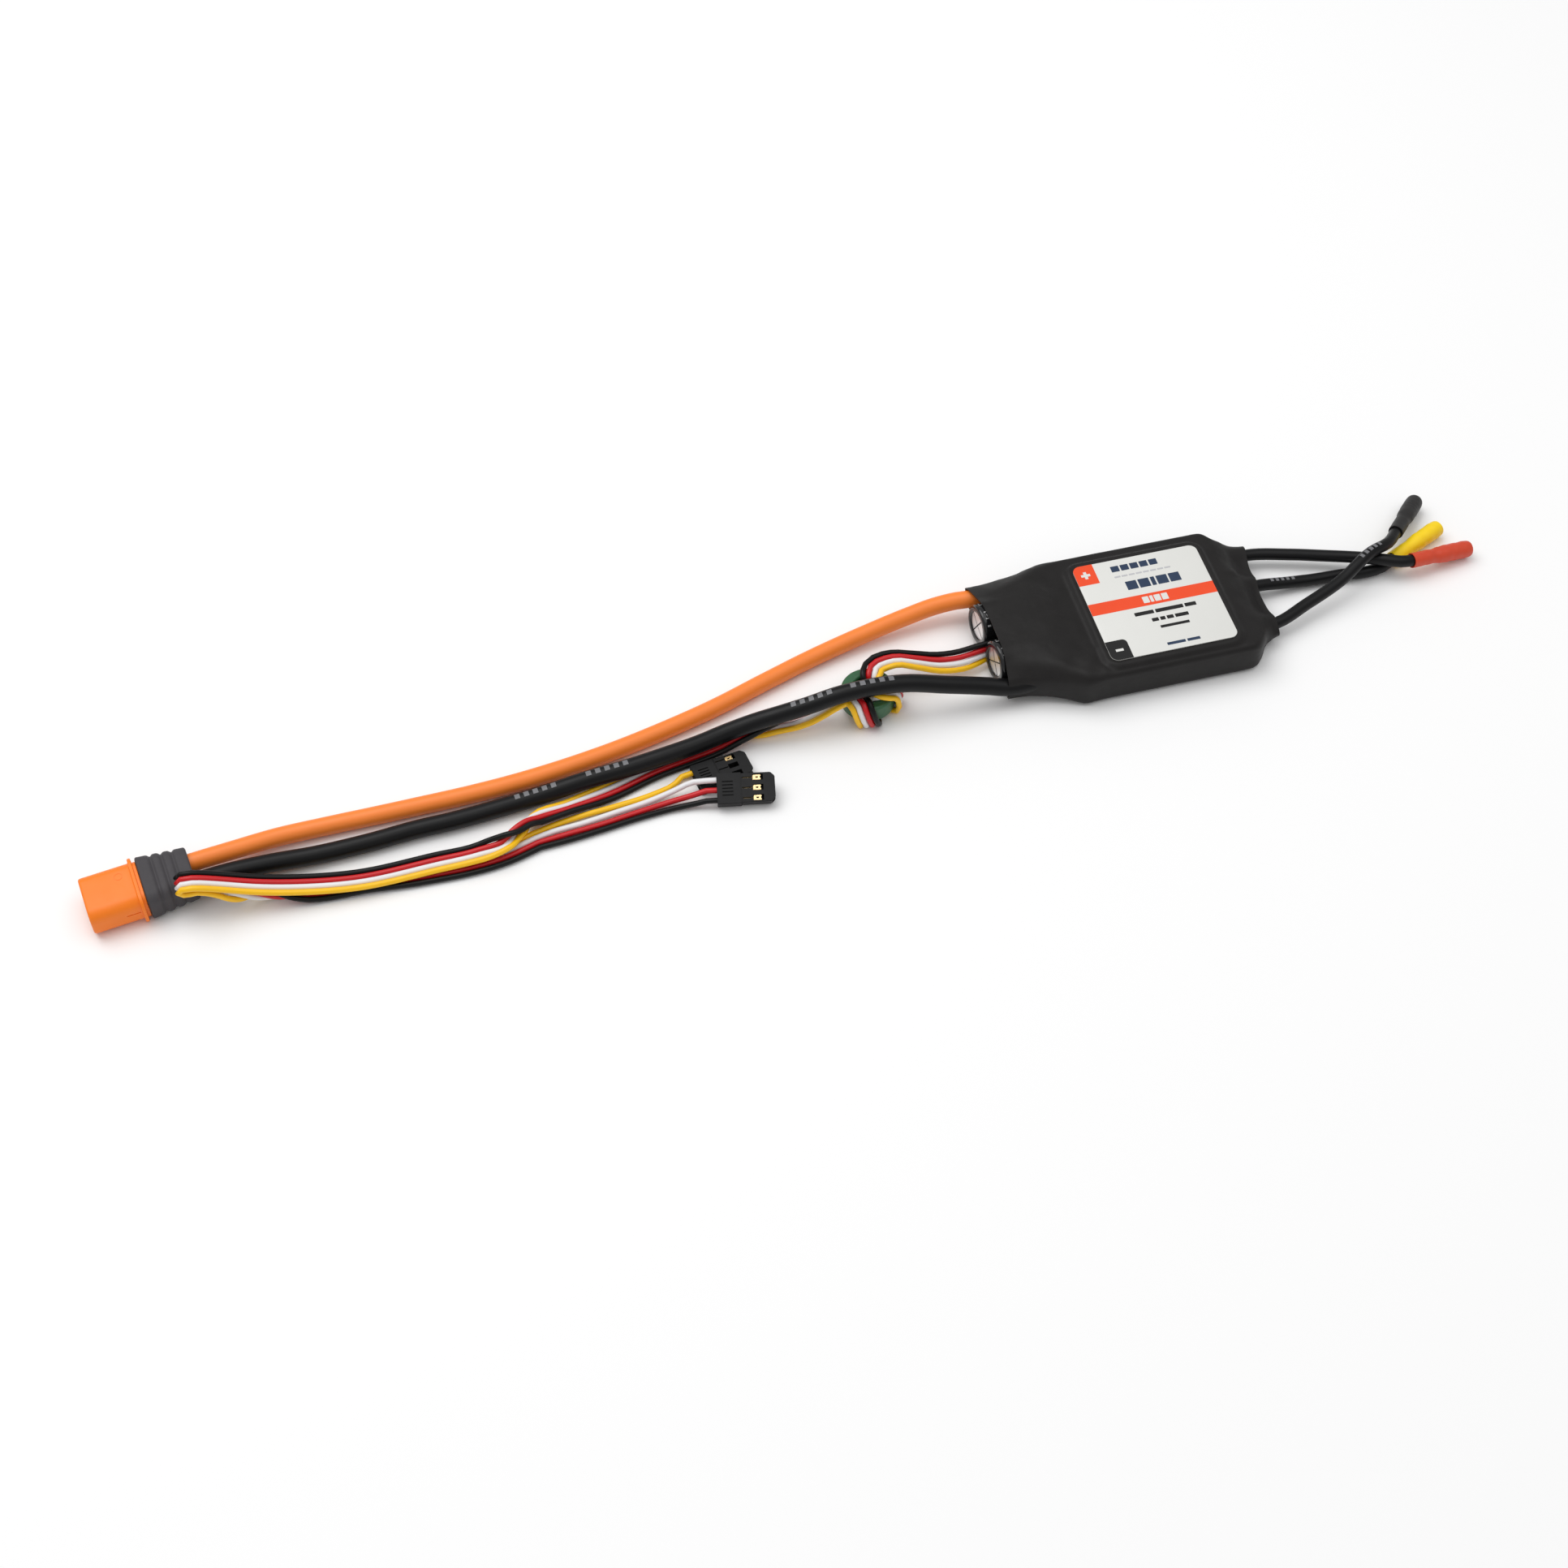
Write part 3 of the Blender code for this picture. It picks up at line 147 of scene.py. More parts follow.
RIBBON_BACK = [
    (-237, -26, 9.1, 0, -1, 0, 0), (-233, -26.4, 7.2, 0, -1, 0, 0),
    (-228.5, -27, 5, 0, -0.85, -0.5, 0.4), (-223.5, -27.6, 3.2, 0, 0, -1, 0.9),
    (-218.5, -28.3, 2.1, 0, 0.85, -0.5, 0.4), (-212.5, -29, 1.5, 0, 1, 0, 0),
    (-198.5, -29.6, 1.3, 0, 1, 0, 0), (-186.4, -30.4, 1, 0, 1, 0, 0),
    (-165.7, -29.6, 1, 0, 1, 0, 0), (-158.3, -27.5, 1, 0, 1, 0, 0),
]
# The four wires part before the receiver plugs; points in millimetres.
TAILS = {
    "yellow": [
        (-154, -24.2, 1), (-146.8, -23.1, 1), (-137.8, -22.3, 1), (-128.6, -21.1, 1),
        (-122.5, -19.3, 1.1),
    ],
    "white": [
        (-154, -25.9, 1), (-147.3, -25.4, 1), (-138.1, -24.1, 1), (-130, -22.9, 1),
        (-124, -22.1, 1.9), (-118.5, -21.8, 3.5),
    ],
    "red": [
        (-153, -27.7, 1), (-142.2, -26.7, 1), (-133.1, -25.4, 1), (-124, -24.6, 1.5),
        (-119, -24.9, 2.6),
    ],
    "black": [
        (-151.6, -29.3, 1), (-142.4, -28.3, 1), (-133.3, -27.1, 1), (-123.9, -26.5, 1.1),
        (-119, -26.9, 1.7),
    ],
}
WIRE_ORDER = ["black", "red", "white", "yellow"]

# Receiver plugs: size and pitch of the channels in millimetres, then each plug's centre, yaw
# and roll, and the channel of each wire
PLUG_SIZE = (14.0, 7.8, 2.6)
PLUG_PITCH = 2.54
PLUGS = {
    "1": ((-0.1107, -0.01885, 0.00135), 9.0, 0.0, {"yellow": 1}),
    "2": ((-0.1068, -0.0268, 0.00325), -11.0, 21.0, {"white": 1, "red": 0, "black": -1}),
}

# Finish of each material slot: colour, roughness, colour variation, noise scale, bump height
# in micrometres, bump noise scale
FINISHES = {
    "sleeve_black": ((0.013, 0.012, 0.0118), 0.5, 0.22, 260, 50, 900),
    "label_white": ((0.73, 0.73, 0.7), 0.38, 0.015, 300, 4, 2500),
    "label_orange": ((0.84, 0.068, 0.012), 0.38, 0.03, 300, 4, 2500),
    "label_black": ((0.018, 0.018, 0.018), 0.38, 0.1, 300, 4, 2500),
    "label_blue": ((0.03, 0.05, 0.095), 0.38, 0.1, 300, 4, 2500),
    "label_grey": ((0.5, 0.5, 0.52), 0.38, 0.05, 300, 4, 2500),
    "aluminium": ((0.86, 0.86, 0.86), 0.45, 0.05, 500, 8, 2200),
    "pad_grey": ((0.35, 0.36, 0.38), 0.9, 0.12, 700, 30, 1500),
    "board_green": ((0.03, 0.16, 0.07), 0.4, 0.25, 900, 10, 1500),
    "chip_black": ((0.011, 0.011, 0.0115), 0.5, 0.2, 900, 10, 4000),
    "tinned": ((0.62, 0.62, 0.6), 0.35, 0.1, 900, 20, 1200),
    "rubber_black": ((0.015, 0.015, 0.015), 0.8, 0.2, 700, 20, 2500),
    "film_black": ((0.01, 0.01, 0.011), 0.16, 0.2, 400, 10, 500),
    "silicone_orange": ((0.94, 0.235, 0.03), 0.42, 0.05, 160, 8, 3200),
    "silicone_black": ((0.0055, 0.0055, 0.006), 0.36, 0.2, 160, 8, 3200),
    "shell_orange": ((0.94, 0.205, 0.004), 0.44, 0.04, 200, 8, 2600),
    "cap_grey": ((0.062, 0.058, 0.063), 0.55, 0.12, 350, 15, 2600),
    "gold": ((0.95, 0.72, 0.38), 0.25, 0.05, 900, 4, 2500),
    "ferrite_green": ((0.02, 0.105, 0.038), 0.45, 0.22, 900, 30, 1800),
    "wire_black": ((0.006, 0.006, 0.006), 0.33, 0.15, 200, 6, 3000),
    "wire_red": ((0.56, 0.004, 0.008), 0.36, 0.08, 200, 6, 3000),
    "wire_white": ((0.8, 0.79, 0.8), 0.4, 0.03, 200, 6, 3000),
    "wire_yellow": ((0.95, 0.53, 0.003), 0.36, 0.06, 200, 6, 3000),
    "shrink_red": ((0.62, 0.056, 0.018), 0.45, 0.1, 300, 30, 900),
    "shrink_yellow": ((0.96, 0.66, 0.004), 0.45, 0.06, 300, 30, 900),
    "shrink_black": ((0.026, 0.025, 0.025), 0.5, 0.2, 300, 30, 900),
    "print_grey": ((0.16, 0.16, 0.17), 0.5, 0.15, 900, 3, 3000),
    "print_silver": ((0.6, 0.6, 0.6), 0.35, 0.1, 900, 3, 3000),
    # painted shade: the dark colour laid in the bottom of the capacitors' vent score
    "vent_score_painted_shade": ((0.03, 0.03, 0.03), 0.6, 0.1, 900, 3, 3000),
}
METALLIC = {"aluminium": 1.0, "tinned": 1.0, "gold": 1.0, "print_silver": 0.5}
COAT = {"board_green": 0.2, "film_black": 0.6, "ferrite_green": 0.2}
FLOOR_COLOUR = (0.94, 0.94, 0.94)
SKY_STRENGTH = 0.47
# Round lights aimed at the leads' middle: location, diameter, power
LIGHTS = {
    "key_light": ((-0.55, 0.45, 1.20), 1.2, 9.6),
    "overhead_light": ((0.15, -0.10, 1.40), 1.6, 6.3),
}
LIGHT_TARGET = (-0.09, -0.005, 0.0)


# ---- materials

def noise_output(tree, coordinates, scale, detail):
    texture = tree.nodes.new("ShaderNodeTexNoise")
    texture.inputs["Scale"].default_value = scale
    texture.inputs["Detail"].default_value = detail
    tree.links.new(coordinates, texture.inputs["Vector"])
    return texture.outputs["Fac"]


def shaded(name, **values):
    """A new material, its node tree and its shader with the given inputs."""
    material = bpy.data.materials.new(name)
    material.use_nodes = True
    shader = material.node_tree.nodes["Principled BSDF"]
    for label, value in values.items():
        shader.inputs[label.replace("_", " ")].default_value = value
    return material, material.node_tree, shader


def look(slot):
    """The slot's material: mottled colour, uneven roughness and a fine bump from noise."""
    name = f"look_{slot}"
    if name in bpy.data.materials:
        return bpy.data.materials[name]
    colour, rough, vary, scale, height, bump_scale = FINISHES[slot]
    material, tree, shader = shaded(
        name, Metallic=METALLIC.get(slot, 0.0), Coat_Weight=COAT.get(slot, 0.0),
        Coat_Roughness=0.15, Specular_IOR_Level=0.2 if max(colour) < 0.1 else 0.45)
    coordinates = tree.nodes.new("ShaderNodeTexCoord").outputs["Object"]
    cloud = noise_output(tree, coordinates, scale, 4)
    mix = tree.nodes.new("ShaderNodeMix")
    mix.data_type = "RGBA"
    darker = [value * (1 - vary) for value in colour]
    lighter = [min(1.0, value * (1 + vary)) for value in colour]
    mix.inputs["A"].default_value = (*darker, 1)
    mix.inputs["B"].default_value = (*lighter, 1)
    tree.links.new(cloud, mix.inputs["Factor"])
    tree.links.new(mix.outputs["Result"], shader.inputs["Base Color"])
    spread = tree.nodes.new("ShaderNodeMapRange")
    spread.inputs["To Min"].default_value = max(0.05, rough - 0.07)
    spread.inputs["To Max"].default_value = min(1.0, rough + 0.07)
    tree.links.new(noise_output(tree, coordinates, scale * 1.7, 3), spread.inputs["Value"])
    tree.links.new(spread.outputs["Result"], shader.inputs["Roughness"])
    bump = tree.nodes.new("ShaderNodeBump")
    bump.inputs["Strength"].default_value = 0.6
    bump.inputs["Distance"].default_value = height * 1e-6
    tree.links.new(noise_output(tree, coordinates, bump_scale, 3), bump.inputs["Height"])
    tree.links.new(bump.outputs["Normal"], shader.inputs["Normal"])
    return material


# ---- mesh tools

def new_object(name, data):
    holder = bpy.data.objects.new(name, data)
    bpy.context.collection.objects.link(holder)
    return holder


def place(name, data, slot, *nodes, finish=None):
    """Put a new piece in the scene on the one body, standing for the given CAD nodes."""
    data.materials.append(look(finish or slot))
    piece = new_object(name, data)
    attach(piece, BODY)
    if nodes:
        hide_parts(*nodes)
    return piece


def mesh_from(bm, name, transform=None, smooth_angle=40):
    if transform is not None:
        move(bm, transform)
    bmesh.ops.recalc_face_normals(bm, faces=bm.faces)
    mesh = bpy.data.meshes.new(name)
    bm.to_mesh(mesh)
    bm.free()
    mesh.shade_smooth()
    mesh.set_sharp_from_angle(angle=math.radians(smooth_angle))
    return mesh


def move(bm, matrix):
    bmesh.ops.transform(bm, matrix=matrix, verts=bm.verts)


def shift(x, y, z=0.0):
    """The matrix that moves something by so many millimetres."""
    return Matrix.Translation((x * MM, y * MM, z * MM))


def make(name, bm, slot, *nodes, at=None, smooth_angle=40, finish=None):
    """Put the shapes held in a bmesh in the scene as one piece."""
    mesh = mesh_from(bm, name, at, smooth_angle)
    return place(name, mesh, slot, *nodes, finish=finish)


def turn_into(bm, profile, segments, axis="X"):
    """Add a shape turned from (radius, along) points in millimetres. The profile is closed
    unless it starts and ends on the axis."""
    verts = []
    for radius, along in metres(profile):
        point = (along, 0.0, radius) if axis == "X" else (radius, 0.0, along)
        verts.append(bm.verts.new(point))
    edges = [bm.edges.new(pair) for pair in zip(verts, verts[1:])]
    if profile[0][0] > 0:
        edges.append(bm.edges.new((verts[-1], verts[0])))
    direction = (1, 0, 0) if axis == "X" else (0, 0, 1)
    bmesh.ops.spin(bm, geom=verts + edges, cent=(0, 0, 0), axis=direction,
                   angle=2 * math.pi, steps=segments, use_merge=True)
    bmesh.ops.remove_doubles(bm, verts=bm.verts, dist=1e-6)


def loft_into(bm, rings, joined=False, capped=True):
    rows = [[bm.verts.new(point) for point in ring] for ring in rings]
    pairs = list(zip(rows, rows[1:]))
    if joined:
        pairs.append((rows[-1], rows[0]))
    for row, following in pairs:
        for i in range(len(row)):
            j = (i + 1) % len(row)
            bm.faces.new((row[i], row[j], following[j], following[i]))
    if capped and not joined:
        bm.faces.new(rows[0])
        bm.faces.new(rows[-1])
    return rows


def section(x, outline):
    """A ring of points across X, from an outline (y, z); millimetres in, metres out."""
    return [(x * MM, y * MM, z * MM) for y, z in outline]


def level(outline, height):
    """A flat ring of points at a height, from an outline (x, y); millimetres in, metres out."""
    return [(x * MM, y * MM, height * MM) for x, y in outline]


def round_edges(bm, verts, width):
    edges = list({edge for vert in verts for edge in vert.link_edges})
    bmesh.ops.bevel(bm, geom=edges, offset=width * MM, segments=2, affect="EDGES")


def block_into(bm, low, high, bevel=0.0):
    """Add a box between two corners, with its edges rounded; millimetres."""
    made = bmesh.ops.create_cube(bm, size=1.0)["verts"]
    size = [(b - a) * MM for a, b in zip(low, high)]
    centre = [(a + b) / 2 * MM for a, b in zip(low, high)]
    bmesh.ops.scale(bm, vec=size, verts=made)
    bmesh.ops.translate(bm, vec=centre, verts=made)
    if bevel:
        round_edges(bm, made, bevel)


def arc(centre, radius, start, end, steps):
    """Points on an arc, angles in degrees from the first axis towards the second."""
    points = []
    for angle in np.radians(np.linspace(start, end, steps + 1)):
        points.append((centre[0] + radius * math.cos(angle),
                       centre[1] + radius * math.sin(angle)))
    return points


def rounded_outline(half_width, low, high, radius, steps=8):
    """A rounded rectangle as points (y, z), centred on y = 0."""
    y = half_width - radius
    outline = arc((y, low + radius), radius, -90, 0, steps)
    outline += arc((y, high - radius), radius, 0, 90, steps)
    outline += arc((-y, high - radius), radius, 90, 180, steps)
    outline += arc((-y, low + radius), radius, 180, 270, steps)
    return outline


def cross_outline(half_arm, reach):
    """A plus sign as one outline, centred on the origin."""
    quarter = [(reach, -half_arm), (reach, half_arm), (half_arm, half_arm)]
    outline = []
    for _ in range(4):
        outline += quarter
        quarter = [(-b, a) for a, b in quarter]
    return outline


def smoothstep(value):
    value = min(max(value, 0.0), 1.0)
    return value * value * (3 - 2 * value)


def combine(piece, bm, at=None, operation="DIFFERENCE"):
    """Cut the shapes held in a bmesh out of a piece, or unite them with it, at once."""
    name = f"{piece.name}_tool"
    tool = new_object(name, mesh_from(bm, name, at))
    modifier = piece.modifiers.new("combine", "BOOLEAN")
    modifier.operation = operation
    modifier.object = tool
    modifier.solver = "EXACT"
    modifier.use_self = operation == "DIFFERENCE"
    bpy.context.view_layer.update()
    evaluated = piece.evaluated_get(bpy.context.evaluated_depsgraph_get())
    piece_mesh = bpy.data.meshes.new_from_object(evaluated)
    piece.modifiers.clear()
    piece.data = piece_mesh
    bpy.data.objects.remove(tool, do_unlink=True)
    piece_mesh.shade_smooth()
    piece_mesh.set_sharp_from_angle(angle=math.radians(35))


def smooth_route(points, spacing, least=None):
    """Read points off a smooth curve through the given ones, at about the given spacing and
    with at least so many steps in each stretch."""
    points = np.array(points, float)
    steps = np.linalg.norm(np.diff(points[:, :3], axis=0), axis=1)
    slopes = np.diff(points, axis=0) / steps[:, None]
    tangents = np.empty_like(points)
    tangents[0] = slopes[0]
    tangents[-1] = slopes[-1]
    weights = (steps[:-1] / (steps[:-1] + steps[1:]))[:, None]
    tangents[1:-1] = slopes[1:] * weights + slopes[:-1] * (1 - weights)
    route = [points[0]]
    for i, length in enumerate(steps):
        count = max(1, round(length / spacing), least[i] if least else 1)
        for t in np.arange(1, count + 1) / count:
            route.append(
                points[i] * (2 * t**3 - 3 * t**2 + 1)
                + tangents[i] * length * (t**3 - 2 * t**2 + t)
                + points[i + 1] * (3 * t**2 - 2 * t**3)
                + tangents[i + 1] * length * (t**3 - t**2)
            )
    return np.array(route)


def metres(points):
    return [tuple(value * MM for value in point) for point in points]


def ribbon_stations():
    """The ribbon's whole route as rows of middle point, across direction and fold."""
    turns = []
    for radius, degrees, height, fold in RIBBON_TURNS:
        angle = math.radians(degrees)
        across = (math.sin(angle), -math.cos(angle), 0.0)
        turns.append((RING_CENTRE[0] + radius * math.cos(angle),
                      RING_CENTRE[1] + radius * math.sin(angle), height, *across, fold))
    rows = []
    for row in RIBBON_TO_RING + turns + RIBBON_TO_CONNECTOR + RIBBON_BACK:
        across = Vector(row[3:6]).normalized()
        rows.append((*(value * MM for value in row[:3]), *across, row[6]))
    return rows


def twist_steps(stations):
    """Steps for each stretch of ribbon, so that no step turns a wire round its neighbour by
    more than TWIST_STEP."""
    steps = []
    for start, end in zip(stations, stations[1:]):
        turned_by = Vector(start[3:6]).angle(Vector(end[3:6]))
        folded_by = abs(end[6] - start[6]) * math.pi / 2
        steps.append(math.ceil((turned_by + folded_by) / TWIST_STEP))
    return steps


def ribbon_wires():
    """Middle line of each wire in the ribbon, in the order of WIRE_ORDER."""
    stations = ribbon_stations()
    route = smooth_route(stations, RIBBON_SPACING, twist_steps(stations))
    middles = route[:, :3]
    along = np.gradient(middles, axis=0)
    along /= np.linalg.norm(along, axis=1)[:, None]
    across = route[:, 3:6] - along * np.sum(route[:, 3:6] * along, axis=1)[:, None]
    across /= np.linalg.norm(across, axis=1)[:, None]
    up = np.cross(along, across)
    turn = np.clip(route[:, 6], 0, 1) * math.pi / 2
    half = SIGNAL_WIRE_PITCH / 2
    wires = []
    for side, outer in ((-1, True), (-1, False), (1, False), (1, True)):
        reach = half + 2 * half * np.cos(turn) * outer
        lift = half * np.sin(turn) * (1 if outer else -1)
        offset = across * (side * reach)[:, None] + up * lift[:, None]
        wires.append(middles + offset)
    return wires


def plug_rotation(yaw, roll):
    """Roll about the plug's length first, then yaw about the vertical."""
    yaw_turn = Quaternion((0, 0, 1), math.radians(yaw))
    return yaw_turn @ Quaternion((1, 0, 0), math.radians(roll))


def channel_points(plug, channel):
    """Where a wire runs straight into its plug channel: outside, at the face and inside."""
    centre, yaw, roll, _ = PLUGS[plug]
    rotation = plug_rotation(yaw, roll)
    points = []
    for along in (-2.6, 0.0, 1.1):
        local = Vector((-PLUG_SIZE[0] / 2 + along, channel * PLUG_PITCH, 0.0)) * MM
        points.append(tuple(Vector(centre) + rotation @ local))
    return points


def tube(name, points, diameter, slot, *nodes):
    """A round lead along a list of points, as a curve with its own thickness."""
    curve = bpy.data.curves.new(name, "CURVE")
    curve.dimensions = "3D"
    curve.bevel_depth = diameter / 2
    curve.bevel_resolution = 6
    curve.use_fill_caps = True
    spline = curve.splines.new("POLY")
    spline.points.add(len(points) - 1)
    for target, point in zip(spline.points, points):
        target.co = (*(float(value) for value in point), 1.0)
    return place(name, curve, slot, *nodes)


def wrap_patch_into(bm, points, radius, span, angles):
    """Add a thin printed patch on a tube, between two distances along its line and two
    angles round it, where 90 degrees is up."""
    points = np.array(points)[:, :3]
    along = np.concatenate([[0], np.cumsum(np.linalg.norm(np.diff(points, axis=0), axis=1))])
    rings = []
    for distance in np.linspace(*span, 4):
        centre, ahead = (Vector([np.interp(reach, along, column) for column in points.T])
                         for reach in (distance, distance + MM))
        forward = (ahead - centre).normalized()
        side = forward.cross(Vector((0, 0, 1))).normalized()
        up = side.cross(forward)
        sweep = np.radians(np.linspace(*angles, 5))
        ring = []
        for face, turns in ((radius, sweep), (radius - 0.06 * MM, sweep[::-1])):
            for angle in turns:
                out = side * math.cos(angle) + up * math.sin(angle)
                ring.append(centre + out * face)
        rings.append(ring)
    loft_into(bm, rings)


# ---- camera

def build_camera():
    camera = bpy.data.cameras.new("camera")
    camera.lens = CAMERA_LENS
    camera.sensor_width = SENSOR_WIDTH
    holder = new_object("camera", camera)
    holder.location = CAMERA_LOCATION
    holder.rotation_euler = Euler([math.radians(angle) for angle in CAMERA_TURN])
    bpy.context.scene.camera = holder


# ---- leads

def build_power_leads():
    for name, route in (("positive_lead", POSITIVE_ROUTE), ("negative_lead", NEGATIVE_ROUTE)):
        slot = "silicone_orange" if name == "positive_lead" else "silicone_black"
        points = smooth_route(metres(route), LEAD_SPACING)
        leads[name] = (tube(f"{name}_sheath", points, POWER_LEAD_DIAMETER, slot, name), points)


def build_motor_leads():
    for letter, route in MOTOR_ROUTES.items():
        start, end = (Vector(point) for point in MOTOR_PLUGS[letter])
        along = (end - start).normalized()
        inside = [tuple(start + along * distance) for distance in (0.0, 3.5 * MM, 7.6 * MM)]
        points = smooth_route(metres(route) + inside, LEAD_SPACING)
        piece = tube(f"motor_lead_{letter}_sheath", points, MOTOR_LEAD_DIAMETER,
                     "silicone_black", f"motor_lead_{letter}")
        leads[f"motor_lead_{letter}"] = (piece, points)


def build_signal_wires():
    entries = {}
    for plug, (_, _, _, channels) in PLUGS.items():
        for colour, channel in channels.items():
            entries[colour] = channel_points(plug, channel)
    for colour, wire in zip(WIRE_ORDER, ribbon_wires()):
        start = [tuple(wire[-1])]
        tail = smooth_route(start + metres(TAILS[colour]) + entries[colour], RIBBON_SPACING)
        points = np.concatenate([wire, tail[1:]])
        piece = tube(f"signal_wire_{colour}_sheath", points, SIGNAL_WIRE_DIAMETER,
                     f"wire_{colour}", f"signal_wire_{colour}")
        leads[f"signal_wire_{colour}"] = (piece, points)


MARKS_PER_WORD = 5


def build_lead_print():
    """Short plain marks in place of the printing along the black leads."""
    bm = bmesh.new()
    # each lead's diameter, step between marks, angles round it and where its words start
    words = {
        "negative_lead": (POWER_LEAD_DIAMETER, 2.3, (66, 104), (47, 62, 115, 133)),
        "motor_lead_b": (MOTOR_LEAD_DIAMETER, 1.5, (76, 120), (9.5,)),
        "motor_lead_c": (MOTOR_LEAD_DIAMETER, 1.5, (76, 120), (36,)),
    }
    for name, (diameter, step, angles, starts) in words.items():
        for start in starts:
            for number in range(MARKS_PER_WORD):
                low = (start + number * step) * MM
                wrap_patch_into(bm, leads[name][1], diameter / 2 + 0.02 * MM,
                                (low, low + step * 0.55 * MM), angles)
    make("lead_print_marks", bm, "silicone_black", finish="print_grey")


# ---- sleeve

# Stations of the sleeve, in millimetres: position, near side, far side, underside, top,
# top corner radius, bottom corner radius
SLEEVE_STATIONS = np.array([
    (-37.2, -17.4, 18.1, 0.6, 12.8, 4.6, 3.0),
    (-33.5, -17.9, 18.2, 0.1, 13.0, 4.6, 3.0),
    (-28.0, -19.0, 18.5, 0.0, 12.7, 4.6, 2.6),
    (-24.0, -19.8, 19.0, 0.0, 12.4, 4.5, 2.4),
    (-20.5, -20.6, 19.6, 0.0, 11.6, 4.0, 2.2),
    (-17.5, -21.0, 20.0, 0.0, 10.7, 3.0, 2.0),
    (-14.5, -20.8, 20.0, 0.0, 9.95, 1.8, 2.0),
    (-13.0, -20.7, 20.0, 0.0, 9.85, 1.6, 2.0),
    (24.0, -20.7, 20.0, 0.0, 9.85, 1.6, 2.0),
    (25.6, -20.65, 19.95, 0.0, 9.7, 1.6, 2.0),
    (26.6, -20.45, 19.2, 0.0, 9.6, 1.8, 2.0),
    (27.6, -19.95, 18.2, 0.0, 9.3, 2.0, 2.0),
    (28.4, -19.2, 17.8, 0.2, 9.0, 2.0, 2.0),
    (29.4, -18.0, 17.4, 0.4, 8.6, 2.1, 2.0),
    (30.2, -16.6, 17.25, 0.6, 8.2, 2.2, 2.0),
    (31.2, -15.2, 17.05, 0.95, 7.6, 2.2, 1.9),
    (33.0, -14.6, 16.9, 1.3, 6.9, 2.2, 1.9),
    (35.7, -13.9, 16.4, 1.5, 6.4, 2.1, 1.9),
])
SLEEVE_WALL = 0.45
SLEEVE_STEP = 0.5
MOUTH_HEIGHT = 6.5
# Where the film starts to tighten round the leads and capacitors, and over what length
TAUT_START = -18.5
TAUT_LENGTH = 17.5
# What the battery end is shrunk round: (y, z, radius) of leads and capacitors
MOUTH_CIRCLES = [(15.1, 6.8, 2.85), (6.5, 7.05, 5.75), (-6.7, 6.95, 5.75), (-14.2, 5.3, 2.75)]
MOTOR_LEAD_YS = (13.5, 3.0, -10.3)
# Lumps and dents of the shrunk film: x, y, radius, height
LUMPS = [(-16.5, -15.0, 2.4, 0.55), (-13.6, -18.2, 1.6, 0.45), (-20.5, -16.0, 2.6, -0.45),
         (-17.0, -10.5, 2.2, -0.30), (-14.2, -12.0, 1.5, 0.30), (-24.0, 2.0, 2.6, -0.28),
         (-21.0, 5.0, 1.8, 0.22), (-28.5, -3.0, 4.0, -0.25), (-19.0, 12.0, 3.0, -0.25),
         (29.5, 5.0, 1.2, 0.28), (30.5, -11.5, 2.4, 0.35), (28.0, -4.0, 2.4, -0.25),
         (31.5, 9.0, 2.4, -0.20), (-26.0, 14.0, 3.0, -0.22), (27.5, 14.5, 1.8, 0.22)]
LABEL_CENTRE = (5.5, -1.2)
LABEL_SIZE = (33.2, 32.0)
LABEL_CORNER = 2.0
LABEL_TOP = 11.0
LABEL_THICKNESS = 0.30
PRINT_THICKNESS = 0.02


def mouth_reach():
    """Distance from the mouth's middle to its taut outline, by direction."""
    samples = []
    for y, z, radius in MOUTH_CIRCLES:
        samples += [Vector(point) for point in arc((y, z - MOUTH_HEIGHT), radius, 0, 360, 60)]
    hull = [samples[i] for i in geometry.convex_hull_2d(samples)]
    angles, reaches = [], []
    for start, end in zip(hull, hull[1:] + hull[:1]):
        for share in np.linspace(0, 1, 12, endpoint=False):
            point = start.lerp(end, share)
            angles.append(math.atan2(point.y, point.x))
            reaches.append(point.length)
    order = np.argsort(angles)
    return np.array(angles)[order], np.array(reaches)[order]


def plate_rise(x, y):
    """Height of the flat top over the shoulder: a raised frame with a groove round the
    label."""
    out_x = abs(x - LABEL_CENTRE[0]) - LABEL_SIZE[0] / 2 + LABEL_CORNER
    out_y = abs(y - LABEL_CENTRE[1]) - LABEL_SIZE[1] / 2 + LABEL_CORNER
    distance = math.hypot(max(out_x, 0), max(out_y, 0)) + min(max(out_x, out_y), 0)
    distance -= LABEL_CORNER
    frame_height = 1.08 * (1 - smoothstep((distance - 0.9) / 1.8))
    groove = 0.20 * (1 - smoothstep((distance - 0.3) / 0.4))
    return frame_height - groove


def sleeve_values(x):
    """The sleeve's sizes at one position, eased between the stations."""
    values = []
    for column in range(1, 7):
        window = np.linspace(x - 0.7, x + 0.7, 9)
        values.append(np.interp(window, SLEEVE_STATIONS[:, 0],
                                SLEEVE_STATIONS[:, column]).mean())
    return values


